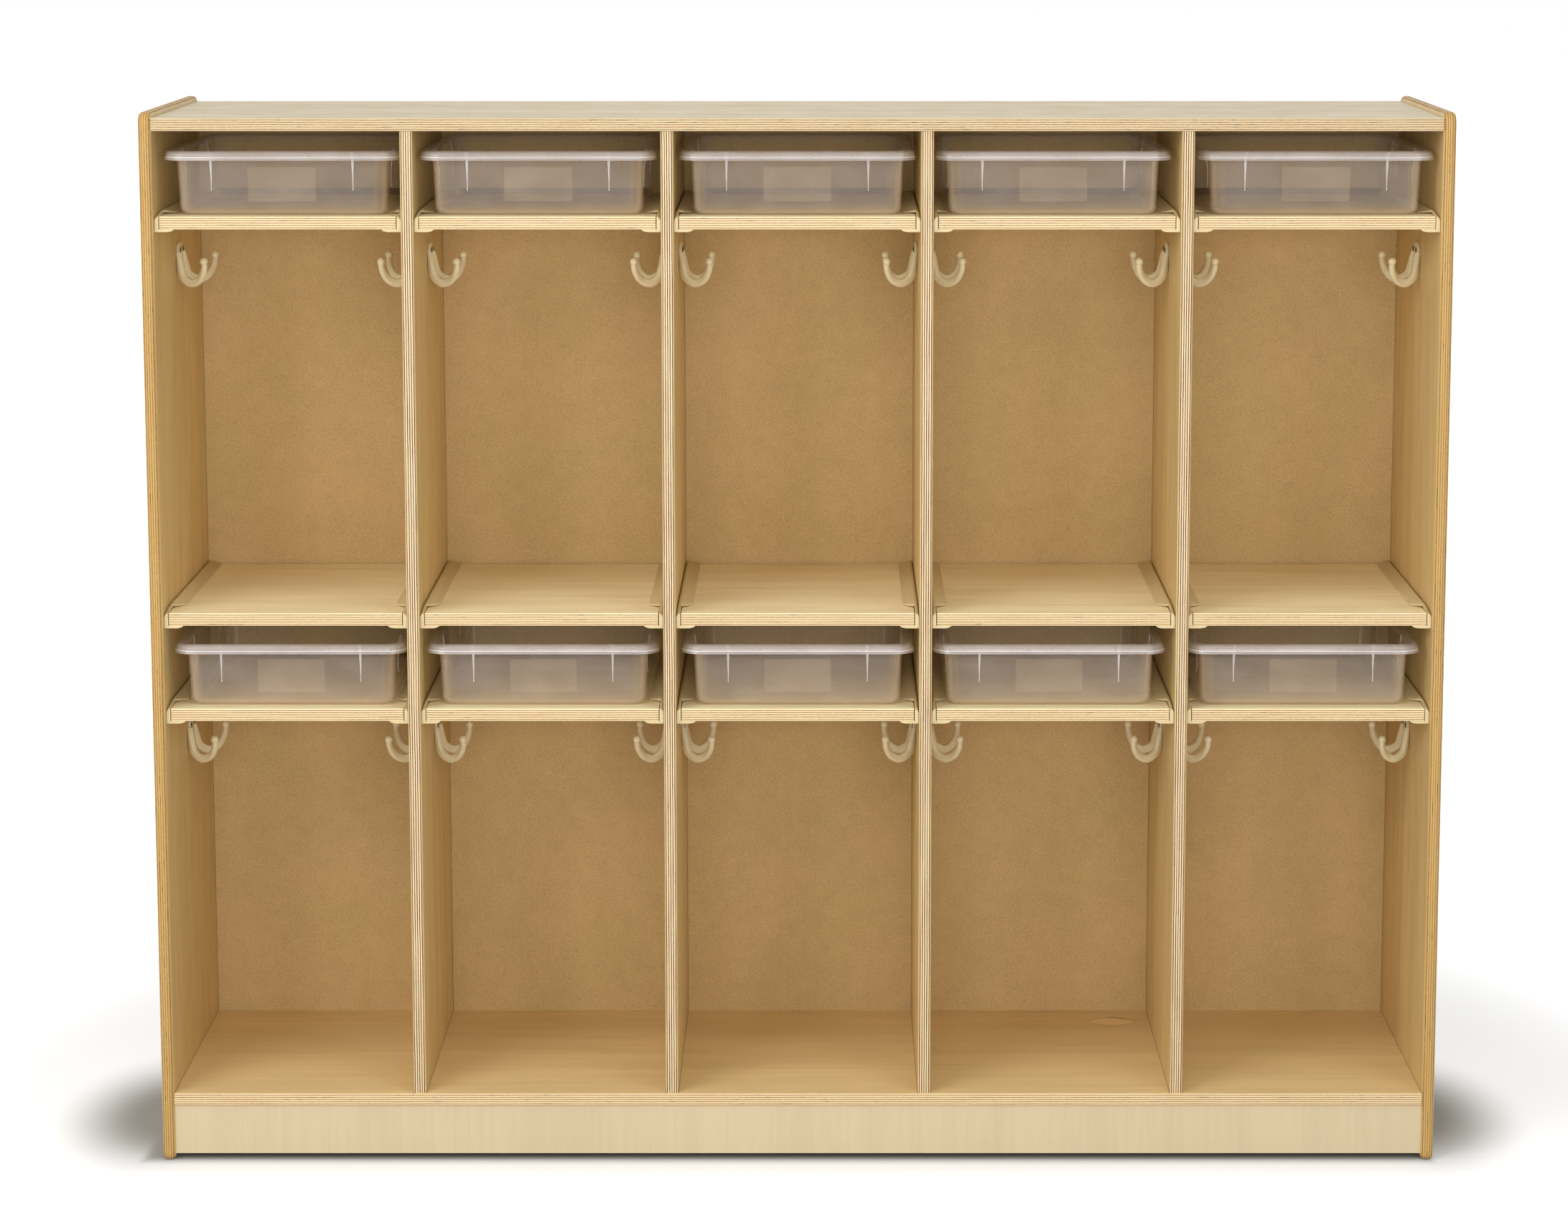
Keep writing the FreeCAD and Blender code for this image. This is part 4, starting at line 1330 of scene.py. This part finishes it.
def seen_directly(tree):
    """One where a ray comes from the camera, a gloss or a clear piece."""
    path = tree.node("ShaderNodeLightPath").outputs
    seen = path["Is Camera Ray"]
    for ray in ("Is Glossy Ray", "Is Transmission Ray"):
        seen = tree.calc("MAXIMUM", seen, path[ray])
    return seen


def make_floor():
    """A pale floor that glows a little to the camera, with the unit's soft shade painted on it."""
    bpy.ops.object.select_all(action="DESELECT")
    bpy.ops.mesh.primitive_plane_add(size=2 * FLOOR_HALF)
    floor = bpy.context.object
    floor.name = "floor"
    finish = Finish("floor", 0.9, Specular_IOR_Level=0.0, Emission_Color=WHITE)
    across = abs(finish.axes[X] - SHADE_PLACE) - cad_box[1][X]
    across = finish.calc("MAXIMUM", across, 0.0) / SHADE_SIDE
    inward = finish.axes[Y] / SHADE_FRONT
    off = finish.calc("SQRT", across * across + inward * inward)
    toe = -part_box("toe_board")[0].y
    before = finish.ramp(abs(finish.axes[Y]), *(toe + step for step in UNDER_FRONT))
    beside = finish.ramp(across, *UNDER_SIDE)
    painted_lit = finish.ramp(off, *SHADE_EDGE) * finish.calc("MAXIMUM", before, beside)
    far = finish.node("ShaderNodeVectorMath", {0: finish.place}, operation="LENGTH")
    glow = finish.ramp(far.outputs["Value"], *WHITE_FROM, FLOOR_GLOW, WHITE_GLOW)
    finish.give("Emission Strength", glow * painted_lit * seen_directly(finish))
    floor.data.materials.append(finish.paint(finish.mix(painted_lit, PAINTED_SHADE_FLOOR, PALE_FLOOR)))


def make_world():
    """Soft light from all round, which looks plain white when seen."""
    world = bpy.data.worlds.new("studio")
    bpy.context.scene.world = world
    tree = Tree(world)
    backdrop = tree.nodes["Background"].inputs
    backdrop["Color"].default_value = WHITE
    strength = tree.node("ShaderNodeMapRange", {
        "Value": seen_directly(tree), "To Min": WORLD_LIGHT, "To Max": 1.0})
    tree.feed(backdrop["Strength"], strength.outputs[0])


def placed(name, data, place, turn):
    """Put a lamp or the camera in the scene."""
    made = bpy.data.objects.new(name, data)
    made.location, made.rotation_euler = place, turn
    bpy.context.scene.collection.objects.link(made)
    return made


def make_lights():
    """The soft boxes, each aimed at the unit."""
    for place, width, height, power in SOFT_BOXES:
        lamp = bpy.data.lights.new("soft_box", "AREA")
        lamp.shape = "RECTANGLE"
        lamp.size, lamp.size_y, lamp.energy = width, height, power
        turn = (Vector(AIM) - Vector(place)).to_track_quat("-Z", "Y").to_euler()
        placed("soft_box", lamp, place, turn)


def make_camera():
    """The photograph's view."""
    lens = bpy.data.cameras.new("camera")
    lens.lens = CAMERA_LENS
    lens.sensor_width = CAMERA_SENSOR
    lens.shift_x, lens.shift_y = CAMERA_SHIFT
    lens.dof.use_dof = False
    turn = (math.radians(90 - CAMERA_TILT), 0, 0)
    bpy.context.scene.camera = placed("camera", lens, CAMERA_PLACE, turn)


OPERATORS = (CUBBY_OT_boards, CUBBY_OT_shelves, CUBBY_OT_back, CUBBY_OT_brackets, CUBBY_OT_hooks,
             CUBBY_OT_trays, CUBBY_OT_fasteners, CUBBY_OT_stage)


class CUBBY_PT_sidebar(bpy.types.Panel):
    """Lists the steps that make the unit"""

    bl_idname = "CUBBY_PT_sidebar"
    bl_label = "Cubby unit"
    bl_space_type = "VIEW_3D"
    bl_region_type = "UI"
    bl_category = "Cubby unit"

    def draw(self, context):
        for operator in OPERATORS:
            self.layout.operator(operator.bl_idname)


CLASSES = (CubbyColours, CubbySizes, *OPERATORS, CUBBY_PT_sidebar)


def register():
    """Make the operators, the panel and the settings known to Blender."""
    for made in CLASSES:
        bpy.utils.register_class(made)
    bpy.types.Scene.cubby_colours = PointerProperty(type=CubbyColours)
    bpy.types.Scene.cubby_sizes = PointerProperty(type=CubbySizes)


def unregister():
    """Take them away again."""
    del bpy.types.Scene.cubby_sizes
    del bpy.types.Scene.cubby_colours
    for made in reversed(CLASSES):
        bpy.utils.unregister_class(made)


def main():
    """Make the unit's looks in order."""
    register()
    for step in ("boards", "shelves", "back", "brackets", "hooks", "trays", "fasteners", "stage"):
        getattr(bpy.ops.cubby, step)()


if __name__ == "__main__":
    main()
